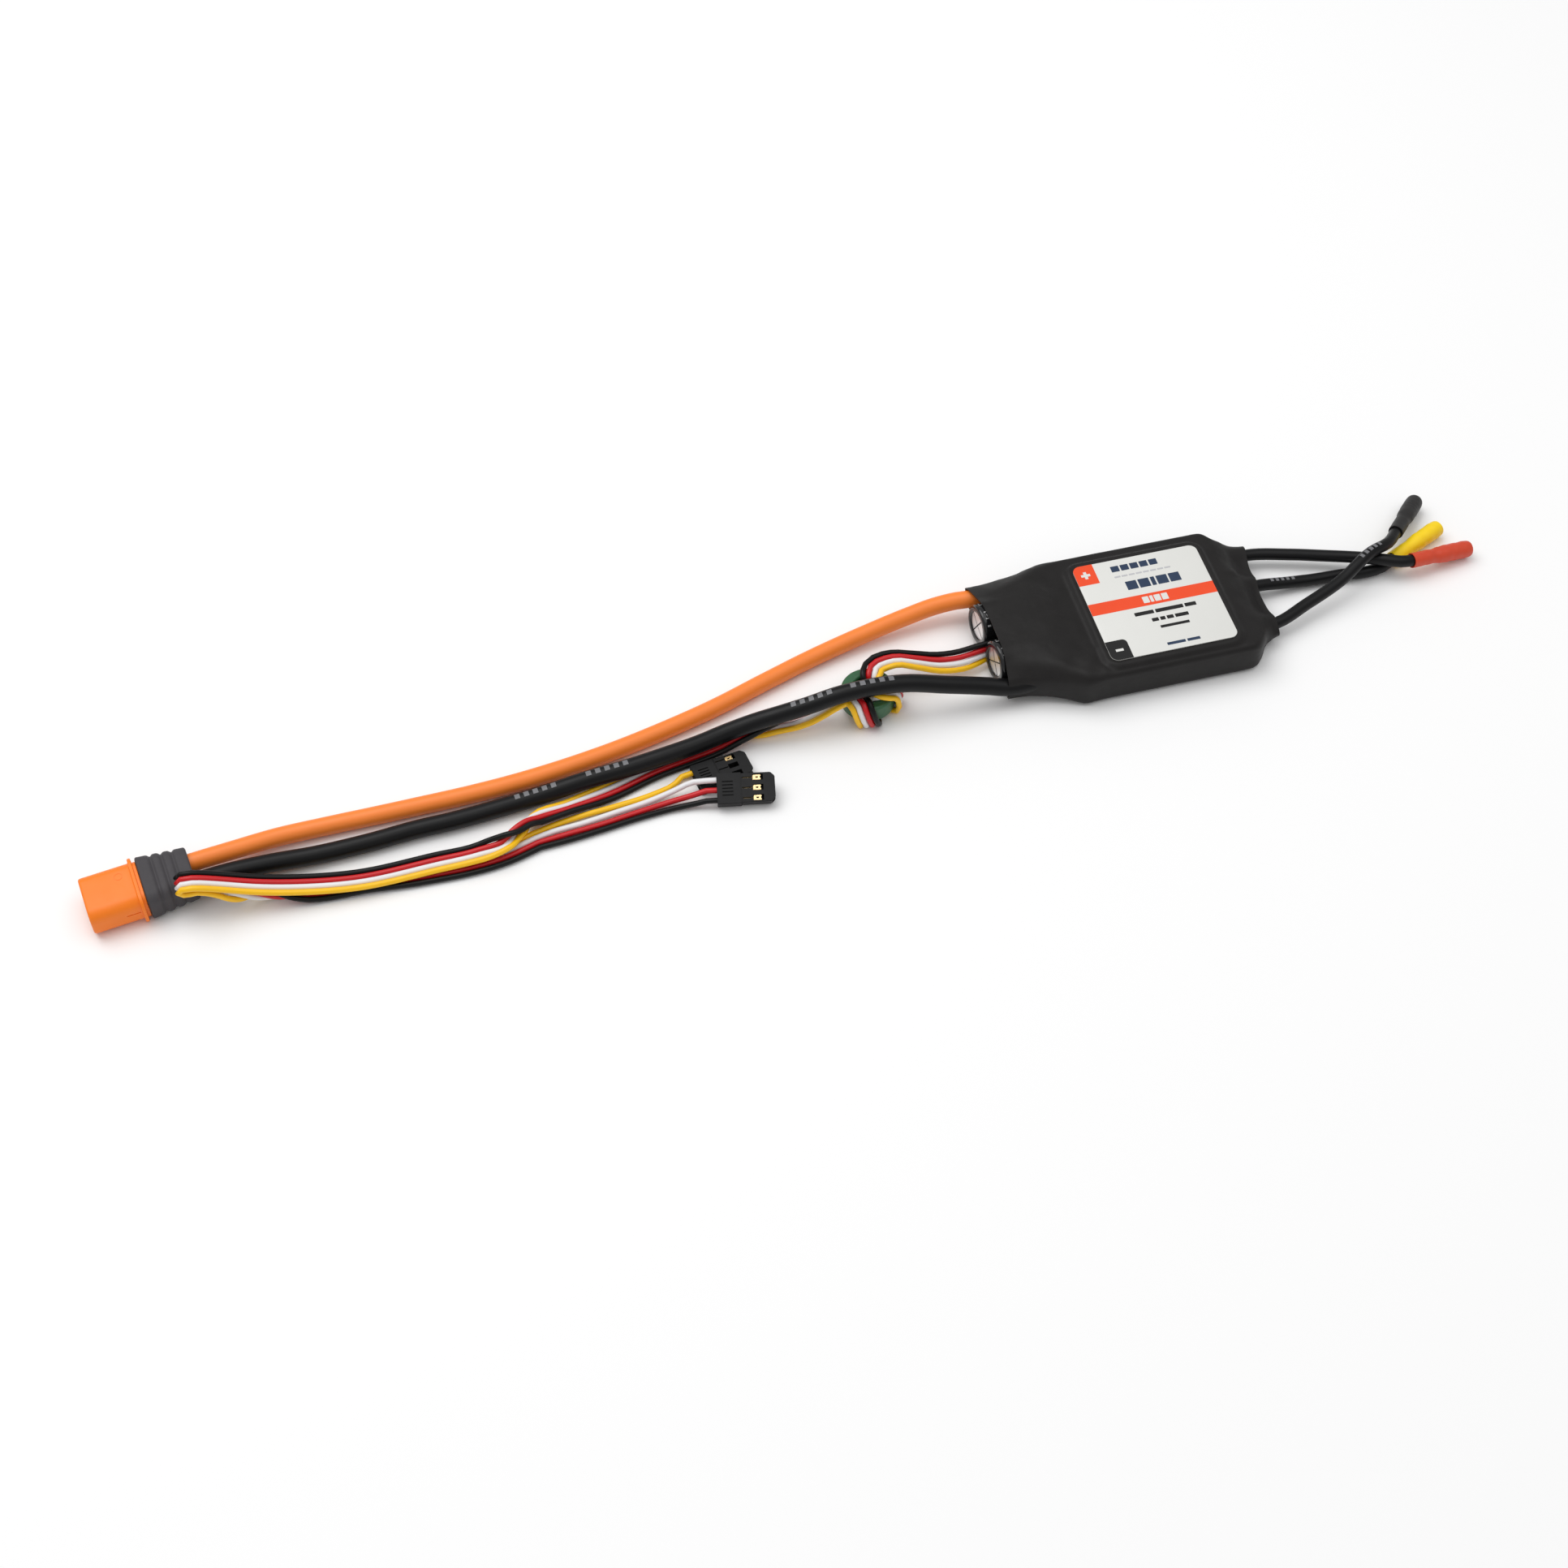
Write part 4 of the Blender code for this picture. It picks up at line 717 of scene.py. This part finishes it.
def sleeve_ring(x, inset, mouth):
    near, far, bottom, top, top_radius, bottom_radius = sleeve_values(x)
    near, far, bottom, top = near + inset, far - inset, bottom + inset, top - inset
    top_radius, bottom_radius = top_radius - inset, bottom_radius - inset
    outline = arc((far - bottom_radius, bottom + bottom_radius), bottom_radius, -90, 0, 8)
    outline += arc((far - top_radius, top - top_radius), top_radius, 0, 90, 8)
    for y in np.linspace(far - top_radius, near + top_radius, 92)[1:-1]:
        outline.append((y, top))
    outline += arc((near + top_radius, top - top_radius), top_radius, 90, 180, 8)
    outline += arc((near + bottom_radius, bottom + bottom_radius), bottom_radius, 180, 270, 8)
    for y in np.linspace(near + bottom_radius, far - bottom_radius, 30)[1:-1]:
        outline.append((y, bottom))
    taut = min(max((TAUT_START - x) / TAUT_LENGTH, 0.0), 1.0)
    hug = smoothstep((x - 29.5) / 5.5)
    flat = near + top_radius, far - top_radius
    ring = []
    for y, z in outline:
        on_top = z > top - 0.01 and flat[0] <= y <= flat[1]
        if taut > 0:
            angle = math.atan2(z - MOUTH_HEIGHT, y)
            reach = float(np.interp(angle, *mouth, period=2 * math.pi)) - inset
            scale = 1 + taut * (reach / math.hypot(y, z - MOUTH_HEIGHT) - 1)
            y, z = y * scale, MOUTH_HEIGHT + (z - MOUTH_HEIGHT) * scale
        if hug > 0:
            fullness = sum(math.exp(-((y - lead) / 2.7) ** 2) for lead in MOTOR_LEAD_YS)
            z = 4.0 + (z - 4.0) * (1 - hug * 0.62 * (1 - min(1.0, fullness)))
        if on_top and inset == 0:
            z += plate_rise(x, y)
        slide = 0.0
        if x < -30:
            bow = 1.0 - (y / 17) ** 2 - 0.5 * (1 + y / 17)
            slide = bow * smoothstep((-30 - x) / 7.2)
        if x > 32:
            bow = 1.05 * ((y + 5) / 16) ** 2 - 0.8
            slide = bow * smoothstep((x - 32) / 3.7)
        ring.append(((x + slide) * MM, y * MM, z * MM))
    return ring


def crumple(bm, outside):
    """Move the film's outer face by its lumps, dents and fine wrinkles."""
    bmesh.ops.recalc_face_normals(bm, faces=bm.faces)
    bm.normal_update()
    moves = []
    for vert in outside:
        x, y, z = (value / MM for value in vert.co)
        move = 0.0
        if z > 2.0:
            for lump_x, lump_y, radius, height in LUMPS:
                move += height * math.exp(-((x - lump_x) ** 2 + (y - lump_y) ** 2) / radius**2)
        loose = 0.25 + 0.75 * smoothstep((-13 - x) / 4)
        loose += 0.5 * smoothstep((x - 26) / 3)
        wave = noise.fractal(Vector((x / 5.5, y / 5.5, z / 5.5)), 1.0, 2.0, 3)
        ridge = noise.noise(Vector((x / 1.6, y / 2.6, z / 2.6)))
        move += loose * (0.14 * wave + 0.035 * ridge) * min(1.0, z / 2.0)
        in_label = abs(x - LABEL_CENTRE[0]) < 17.2 and abs(y - LABEL_CENTRE[1]) < 17.2
        if in_label and z > 9.5:
            move = 0.0
        moves.append((vert, vert.normal * move * MM))
    for vert, move in moves:
        vert.co += move
        vert.co.z = max(vert.co.z, 0.0)


def build_sleeve():
    mouth = mouth_reach()
    start, end = SLEEVE_STATIONS[0, 0], SLEEVE_STATIONS[-1, 0]
    outside = [sleeve_ring(x, 0.0, mouth) for x in np.arange(start, end, SLEEVE_STEP)]
    outside.append(sleeve_ring(end, 0.0, mouth))
    inside = [sleeve_ring(x, SLEEVE_WALL, mouth) for x in np.linspace(end, start, 30)]
    bm = bmesh.new()
    rows = loft_into(bm, outside + inside, joined=True)
    crumple(bm, [vert for row in rows[:len(outside)] for vert in row])
    make("heat_shrink_film", bm, "sleeve_black", "heat_shrink_sleeve", smooth_angle=60)


# ---- label

def label_point(share_x, share_y):
    """A place on the label, as shares from its battery end and from its far side."""
    return (LABEL_CENTRE[0] + (share_x - 0.5) * LABEL_SIZE[0],
            LABEL_CENTRE[1] + (0.5 - share_y) * LABEL_SIZE[1])


def bar(low_x, high_x, low_y, high_y, round_corners=(0, 0, 0, 0)):
    """A rectangle on the label, corners rounded by radius: far battery, far motor, near
    motor, near battery."""
    x0, y1 = label_point(low_x, low_y)
    x1, y0 = label_point(high_x, high_y)
    places = [(x0, y1, 1, -1, 180), (x1, y1, -1, -1, 90), (x1, y0, -1, 1, 0), (x0, y0, 1, 1, 270)]
    outline = []
    for (x, y, sign_x, sign_y, start), radius in zip(places, round_corners):
        if radius:
            centre = (x + sign_x * radius, y + sign_y * radius)
            outline += arc(centre, radius, start, start - 90, 8)
        else:
            outline.append((x, y))
    return outline


def dashes(low_x, high_x, low_y, high_y, words):
    """A line of plain bars of the given relative lengths, like words seen from afar."""
    gap = 0.2
    total = sum(words) + gap * (len(words) - 1)
    scale = (high_x - low_x) / total
    outlines, place_x = [], low_x
    for word in words:
        end_x = place_x + word * scale
        outlines.append(bar(place_x, end_x, low_y, high_y, (0.12,) * 4))
        place_x = end_x + gap * scale
    return outlines


def build_label():
    base = bar(0, 1, 0, 1, (LABEL_CORNER,) * 4)
    inner = bar(0.002, 0.998, 0.002, 0.998, (LABEL_CORNER,) * 4)
    low = LABEL_TOP - LABEL_THICKNESS
    rings = [level(base, low), level(base, LABEL_TOP - 0.04), level(inner, LABEL_TOP)]
    bm = bmesh.new()
    loft_into(bm, rings)
    make("label_sheet", bm, "label_white", "label")
    plus_x, plus_y = label_point(0.083, 0.105)
    # the white print lies on the orange and the black
    prints = {
        "label_orange": [
            bar(0.0, 0.165, 0.0, 0.205, (LABEL_CORNER, 0, 0, 0)),
            bar(0.0, 1.0, 0.405, 0.525),
        ],
        "label_black": [
            bar(0.0, 0.165, 0.805, 1.0, (0, 1.2, 0, LABEL_CORNER)),
            *dashes(0.31, 0.80, 0.575, 0.612, (2.2, 3.2, 1.3)),
            *dashes(0.42, 0.71, 0.660, 0.695, (0.8, 0.6, 0.8, 1.6)),
            *dashes(0.46, 0.69, 0.745, 0.772, (3.0,)),
        ],
        "label_blue": [
            *dashes(0.29, 0.66, 0.065, 0.125, (1.0, 1.0, 1.0, 1.0, 1.0)),
            *dashes(0.35, 0.78, 0.245, 0.335, (1.3, 1.3, 0.5, 1.3, 1.3)),
            *dashes(0.45, 0.71, 0.925, 0.952, (2.0, 1.4)),
        ],
        "label_grey": dashes(0.29, 0.74, 0.172, 0.188, (1, 1, 1, 1, 1, 1, 1, 1)),
        "label_white": [
            [(plus_x + x, plus_y + y) for x, y in cross_outline(0.4, 1.2)],
            bar(0.055, 0.115, 0.893, 0.917),
            *dashes(0.42, 0.62, 0.432, 0.498, (1.0, 0.5, 1.0, 1.0)),
        ],
    }
    for finish, outlines in prints.items():
        bm = bmesh.new()
        height = LABEL_TOP + (PRINT_THICKNESS if finish == "label_white" else 0.0)
        for outline in outlines:
            loft_into(bm, [level(outline, height), level(outline, height + PRINT_THICKNESS)])
        make(finish.replace("label", "label_print"), bm, "label_white", finish=finish)


# ---- capacitors

CAPACITOR_LENGTH = 15.0
CAPACITOR_RADIUS = 5.35
CAPACITOR_LIP_RADIUS = 3.75
CAPACITOR_YAW = math.radians(6.0)
CAPACITOR_PITCH = math.radians(3.5)
CAPACITOR_FACES = {"far": (-0.0389, 0.0057, 0.0070), "near": (-0.0383, -0.0067, 0.0069)}
SCORE_TURNS = {"far": 28.0, "near": 52.0}


def capacitor_frame(side):
    turn = Quaternion((0, 0, 1), CAPACITOR_YAW) @ Quaternion((0, 1, 0), CAPACITOR_PITCH)
    return Matrix.LocRotScale(CAPACITOR_FACES[side], turn, None)


def build_capacitor_film(side):
    """The printed film, rolled over the can's edge."""
    r = CAPACITOR_RADIUS
    edge = [(r - 0.75 + 0.75 * math.sin(a), 0.75 - 0.75 * math.cos(a))
            for a in np.radians(np.linspace(0, 90, 8))]
    profile = [(CAPACITOR_LIP_RADIUS, 0.30), (CAPACITOR_LIP_RADIUS, 0.12),
               (CAPACITOR_LIP_RADIUS + 0.12, 0.04), *edge, (r, CAPACITOR_LENGTH),
               (r - 0.25, CAPACITOR_LENGTH), (r - 0.25, 1.0), (r - 0.9, 0.35)]
    bm = bmesh.new()
    turn_into(bm, profile, 64)
    make(f"capacitor_film_{side}", bm, "film_black", f"capacitor_sleeve_{side}",
         at=capacitor_frame(side))


def build_capacitor_can(side):
    """The bare aluminium can, with the crossed vent score pressed into its face and painted shade
    in its groove.
    """
    radius = CAPACITOR_RADIUS - 0.5
    profile = [(0.0, 0.34), (CAPACITOR_LIP_RADIUS, 0.42), (4.3, 0.50), (4.65, 0.8),
               (radius, 1.2), (radius, 12.0), (radius - 0.5, 12.4), (radius, 12.9),
               (radius, 14.6), (0.0, 14.6)]
    bm = bmesh.new()
    turn_into(bm, profile, 48)
    can = make(f"capacitor_shell_{side}", bm, "aluminium", f"capacitor_can_{side}",
               at=capacitor_frame(side))
    cross = capacitor_frame(side) @ Matrix.Rotation(math.radians(SCORE_TURNS[side]), 4, "X")
    for name, half_width, low, high in (("groove", 0.17, 0.0, 0.62),
                                        ("score", 0.16, 0.43, 0.62)):
        bm = bmesh.new()
        outline = cross_outline(half_width, CAPACITOR_LIP_RADIUS)
        loft_into(bm, [section(x, outline) for x in (low, high)])
        if name == "groove":
            combine(can, bm, cross)
        else:
            # painted shade: a dark sheet in the groove's bottom, where the aluminium lies in
            # shadow
            make(f"capacitor_score_{side}", bm, "aluminium", at=cross, finish="vent_score_painted_shade")


def build_capacitor_print():
    """Plain silver marks on the films, where the mouth shows them."""
    bm = bmesh.new()
    for side in CAPACITOR_FACES:
        frame_matrix = capacitor_frame(side)
        line = [frame_matrix @ Vector((x * MM, 0, 0)) for x in (0, 5, 10)]
        for low, high, angles in ((1.0, 2.0, (62, 65)), (1.5, 1.8, (69, 77)),
                                  (1.1, 2.0, (82, 85)), (1.0, 2.0, (114, 117)),
                                  (1.2, 1.5, (121, 128)), (1.0, 1.9, (40, 45))):
            wrap_patch_into(bm, line, (CAPACITOR_RADIUS + 0.02) * MM,
                            (low * MM, high * MM), angles)
    make("capacitor_print_marks", bm, "film_black", finish="print_silver")


# ---- battery connector

CONNECTOR_ORIGIN = (-0.251, -0.0206, 0.0)
CONNECTOR_YAW = math.radians(8.0)
CONNECTOR_AXIS_Z = 4.5
CONTACT_OFFSET = 2.9
CAP_START = 1.45
CAP_LENGTH = 11.75
# Shell rings: position, half width, half height, corner radius
SHELL_RINGS = [
    (-12.0, 6.30, 3.65, 2.5), (-11.92, 6.50, 3.85, 2.7), (-11.7, 6.68, 4.03, 2.9),
    (-11.4, 6.75, 4.10, 3.0), (-6.0, 6.75, 4.10, 3.0), (-0.42, 6.75, 4.10, 3.0),
    (-0.28, 6.81, 4.16, 3.0), (-0.20, 6.95, 4.25, 3.0), (-0.20, 7.55, 4.38, 3.0),
    (-0.12, 7.70, 4.48, 3.0), (0.05, 7.75, 4.50, 3.0), (0.40, 7.75, 4.50, 3.0),
    (0.56, 7.70, 4.48, 3.0), (0.62, 7.55, 4.38, 3.0), (0.62, 6.60, 4.00, 2.8),
    (1.30, 6.60, 4.00, 2.8), (1.40, 6.50, 3.90, 2.7), (1.43, 6.10, 3.50, 2.4),
]
CAP_GROOVES = ((0.30, 0.04, 0.36), (0.51, 0.04, 0.36), (0.72, 0.04, 0.34))


def connector_frame():
    turn = Matrix.Rotation(CONNECTOR_YAW, 4, "Z")
    return Matrix.Translation(CONNECTOR_ORIGIN) @ turn


def barrel_into(bm, side, radius, low, high, segments=40):
    """Add a round bar along one of the connector's two axes."""
    turned = bmesh.new()
    turn_into(turned, [(0.0, low), (radius, low), (radius, high), (0.0, high)], segments)
    move(turned, connector_frame() @ shift(0, side * CONTACT_OFFSET, CONNECTOR_AXIS_Z))
    scratch = bpy.data.meshes.new("scratch")
    turned.to_mesh(scratch)
    turned.free()
    bm.from_mesh(scratch)
    bpy.data.meshes.remove(scratch)


def build_connector_shell():
    rings = []
    for x, half_width, half_height, radius in SHELL_RINGS:
        outline = rounded_outline(half_width, CONNECTOR_AXIS_Z - half_height,
                                  CONNECTOR_AXIS_Z + half_height, radius)
        rings.append(section(x, outline))
    bm = bmesh.new()
    loft_into(bm, rings)
    shell = make("connector_shell_moulding", bm, "shell_orange", "connector_shell",
                 at=connector_frame(), smooth_angle=30)
    tools = bmesh.new()
    for side in (1, -1):
        barrel_into(tools, side, 2.2, -14.0, 3.0)
    combine(shell, tools)
    marks = bmesh.new()
    top = CONNECTOR_AXIS_Z + 4.1
    block_into(marks, (-3.9, -7.2, CONNECTOR_AXIS_Z + 0.30),
               (-0.7, -6.45, CONNECTOR_AXIS_Z + 0.55))
    combine(shell, marks, connector_frame())
    pin_mark = bmesh.new()
    low, high = top - 0.05, top + 0.3
    turn_into(pin_mark, [(0.85, low), (1.0, low), (1.0, high), (0.85, high)], 32, "Z")
    combine(shell, pin_mark, connector_frame() @ shift(-3.1, 2.2))


def build_connector_cap():
    """The ribbed grey cover that closes over the leads."""
    rings = []
    for share in np.linspace(0, 1, 110):
        dip = sum(depth * math.exp(-((share - centre) / half_width) ** 2)
                  for centre, half_width, depth in CAP_GROOVES)
        edge = min(share, 1 - share) * CAP_LENGTH
        round_off = 0.5 * (1 - math.sqrt(1 - (1 - min(edge, 0.5) / 0.5) ** 2))
        half_width = 7.3 - 1.1 * share - dip - round_off
        half_height = 4.5 - 0.6 * share - dip - round_off
        low = CONNECTOR_AXIS_Z - half_height
        high = CONNECTOR_AXIS_Z + half_height
        outline = rounded_outline(half_width, low, high, 2.6)
        rings.append(section(CAP_START + share * CAP_LENGTH, outline))
    bm = bmesh.new()
    loft_into(bm, rings)
    cap = make("connector_cap_moulding", bm, "cap_grey", "connector_cap",
               at=connector_frame(), smooth_angle=50)
    tools = bmesh.new()
    for side in (1, -1):
        barrel_into(tools, side, 2.4, 0.0, 16.0)
    combine(cap, tools)


# ---- motor plugs

BOOT_SLOTS = {"a": "shrink_red", "b": "shrink_yellow", "c": "shrink_black"}
# Shape of each boot from its neck to its open end: radius at shares of its length
BOOT_SHAPE = [(0.0, 1.93), (0.02, 1.97), (0.12, 1.95), (0.30, 1.93), (0.36, 1.88),
              (0.41, 1.93), (0.46, 2.12), (0.52, 2.22), (0.70, 2.25), (0.80, 2.27),
              (0.90, 2.25), (0.96, 2.18), (0.985, 2.08), (1.0, 1.96)]


def build_boot(letter):
    """Shrink tube over the lead's end and its socket, with a soft shoulder."""
    start, end = (Vector(point) for point in MOTOR_PLUGS[letter])
    length = (end - start).length / MM
    turn = Vector((1, 0, 0)).rotation_difference((end - start).normalized())
    matrix = Matrix.LocRotScale(start, turn, None)
    shares = np.linspace(0, 1, 60)
    radii = np.interp(shares, *zip(*BOOT_SHAPE))
    outside = []
    for share, radius in zip(shares, radii):
        wave = 0.035 * math.sin(share * 41 + ord(letter)) * smoothstep(4 * share)
        crimp = 0.05 * math.exp(-((share - 0.66) / 0.012) ** 2)
        crimp += 0.05 * math.exp(-((share - 0.72) / 0.012) ** 2)
        steady = 1.0 if share < 0.94 else 0.0
        outside.append((radius + (wave * steady if letter != "c" else crimp), share * length))
    inside = [(1.72, length - 0.1), (1.76, length - 1.0), (1.76, 8.0), (1.60, 6.5), (1.60, 0.1)]
    bm = bmesh.new()
    turn_into(bm, outside + inside, 48)
    for vert in bm.verts:
        reach = math.hypot(vert.co.y, vert.co.z)
        if reach > 1.85 * MM and vert.co.x < (length - 1) * MM:
            scale = 1 + 0.03 * noise.noise(vert.co * 420 + Vector((ord(letter), 0, 0)))
            vert.co.y *= scale
            vert.co.z *= scale
    make(f"motor_boot_{letter}", bm, BOOT_SLOTS[letter], INSULATOR_NAMES[letter], at=matrix,
         smooth_angle=50)


# ---- interference ring

RING_OUTER_RADIUS = 6.8
RING_INNER_RADIUS = 4.0
RING_BOTTOM = 1.85
RING_HEIGHT = 5.0


def build_ring():
    middle = (RING_OUTER_RADIUS + RING_INNER_RADIUS) / 2
    low = RING_BOTTOM + RING_HEIGHT / 2
    outline = rounded_outline((RING_OUTER_RADIUS - RING_INNER_RADIUS) / 2,
                              low - RING_HEIGHT / 2, low + RING_HEIGHT / 2, 0.8, 5)
    bm = bmesh.new()
    turn_into(bm, [(middle + y, z) for y, z in outline], 72, "Z")
    noise.seed_set(1)  # without it the rough coat would differ from run to run
    for vert in bm.verts:
        vert.co += Vector(noise.noise_vector(vert.co * 700)) * 0.03 * MM
    make("ferrite_ring_core", bm, "ferrite_green", "ferrite_ring", at=shift(*RING_CENTRE),
         smooth_angle=50)


# ---- receiver plugs

PLUG_STEP = -1.1
SLOT_START = -0.9
WINDOW_START = 1.7
WINDOW_END = 4.2


def plug_frame(number):
    centre, yaw, roll, _ = PLUGS[number]
    return Matrix.LocRotScale(centre, plug_rotation(yaw, roll), None)


def extruded_into(bm, outline, low, high, bevel):
    start = len(bm.verts)
    loft_into(bm, [level(outline, low), level(outline, high)])
    bm.verts.ensure_lookup_table()
    round_edges(bm, bm.verts[start:], bevel)


def build_plug(number):
    """Slim housing with a thicker grip, three slots and three windows over its contacts."""
    half_length, half_width, half_height = (size / 2 for size in PLUG_SIZE)
    nose = half_width - 0.22
    tip = 1.0
    bm = bmesh.new()
    outline = [(PLUG_STEP - 1, -nose), (half_length - tip, -nose), (half_length, tip - nose),
               (half_length, nose - tip), (half_length - tip, nose), (PLUG_STEP - 1, nose)]
    extruded_into(bm, outline, -half_height + 0.12, half_height - 0.12, 0.12)
    housing = make(f"receiver_plug_housing_{number}", bm, "chip_black",
                   f"receiver_plug_{number}", at=plug_frame(number), smooth_angle=30)
    grip = bmesh.new()
    outline = [(-half_length, -half_width), (PLUG_STEP, -half_width),
               (PLUG_STEP, half_width), (-half_length, half_width)]
    extruded_into(grip, outline, -half_height, half_height, 0.12)
    combine(housing, grip, plug_frame(number), "UNION")
    tools = bmesh.new()
    for channel in (-1, 0, 1):
        y = channel * PLUG_PITCH
        block_into(tools, (-half_length - 1, y - 0.95, -0.85),
                   (half_length + 1, y + 0.95, 0.85))
    combine(housing, tools, plug_frame(number))
    tools = bmesh.new()
    for channel in (-1, 0, 1):
        y = channel * PLUG_PITCH
        block_into(tools, (WINDOW_START, y - 0.72, 0.5), (WINDOW_END, y + 0.72, 1.6))
        block_into(tools, (SLOT_START, y - 0.16, 0.7), (WINDOW_START - 0.1, y + 0.16, 1.7))
    for line in range(5):
        y = (line - 2) * 0.85
        block_into(tools, (-5.7, y - 0.16, 0.98), (-3.1, y + 0.16, 1.8))
    combine(housing, tools, plug_frame(number))


def build_terminal(colour, number, channel):
    """A folded gold contact: a box with two prongs raised into its window."""
    y = channel * PLUG_PITCH
    bm = bmesh.new()
    blocks = [((-5.6, y - 0.62, -0.52), (2.4, y + 0.62, 0.52)),
              ((WINDOW_START + 0.1, y - 0.6, 0.40), (WINDOW_START + 0.65, y + 0.6, 1.02)),
              ((WINDOW_START + 0.55, y + 0.18, 0.40), (WINDOW_START + 1.9, y + 0.62, 1.02)),
              ((WINDOW_START + 0.55, y - 0.62, 0.40), (WINDOW_START + 1.9, y - 0.18, 1.02)),
              ((WINDOW_START + 1.3, y - 0.40, 0.40), (WINDOW_START + 1.75, y + 0.40, 0.96))]
    for low, high in blocks:
        block_into(bm, low, high, 0.08)
    make(f"signal_terminal_{colour}", bm, "gold", f"signal_contact_{colour}",
         at=plug_frame(number))


# ---- finish and setting

def dress_kept_nodes():
    """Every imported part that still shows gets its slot's material."""
    slots = {entry["node"]: entry["material_slot"] for entry in frame["record"]["subparts"]}
    for name, node in frame["nodes"].items():
        if not node.hide_render:
            node.data.materials.clear()
            node.data.materials.append(look(slots[name]))


def build_floor():
    bm = bmesh.new()
    bmesh.ops.create_grid(bm, x_segments=8, y_segments=8, size=3.0)
    mesh = bpy.data.meshes.new("floor")
    bm.to_mesh(mesh)
    bm.free()
    material = shaded("look_floor", Base_Color=(*FLOOR_COLOUR, 1), Roughness=0.9,
                      Specular_IOR_Level=0.1)[0]
    mesh.materials.append(material)
    new_object("floor", mesh)


def build_lights():
    world = bpy.data.worlds.new("studio")
    bpy.context.scene.world = world
    world.use_nodes = True
    background = world.node_tree.nodes["Background"]
    background.inputs["Color"].default_value = (1, 1, 1, 1)
    background.inputs["Strength"].default_value = SKY_STRENGTH
    for name, (location, diameter, power) in LIGHTS.items():
        light = bpy.data.lights.new(name, "AREA")
        light.shape = "DISK"
        light.size = diameter
        light.energy = power
        holder = new_object(name, light)
        holder.location = location
        direction = Vector(LIGHT_TARGET) - Vector(location)
        holder.rotation_euler = direction.to_track_quat("-Z", "Y").to_euler()
    bpy.context.scene.view_settings.view_transform = "Standard"


leads = {}

build_camera()
build_power_leads()
build_motor_leads()
build_signal_wires()
build_lead_print()
build_sleeve()
build_label()
for capacitor in CAPACITOR_FACES:
    build_capacitor_film(capacitor)
    build_capacitor_can(capacitor)
build_capacitor_print()
build_connector_shell()
build_connector_cap()
for motor_plug in MOTOR_PLUGS:
    build_boot(motor_plug)
build_ring()
for plug, (_, _, _, plug_channels) in PLUGS.items():
    build_plug(plug)
    for wire_colour, wire_channel in plug_channels.items():
        build_terminal(wire_colour, plug, wire_channel)
dress_kept_nodes()
build_floor()
build_lights()
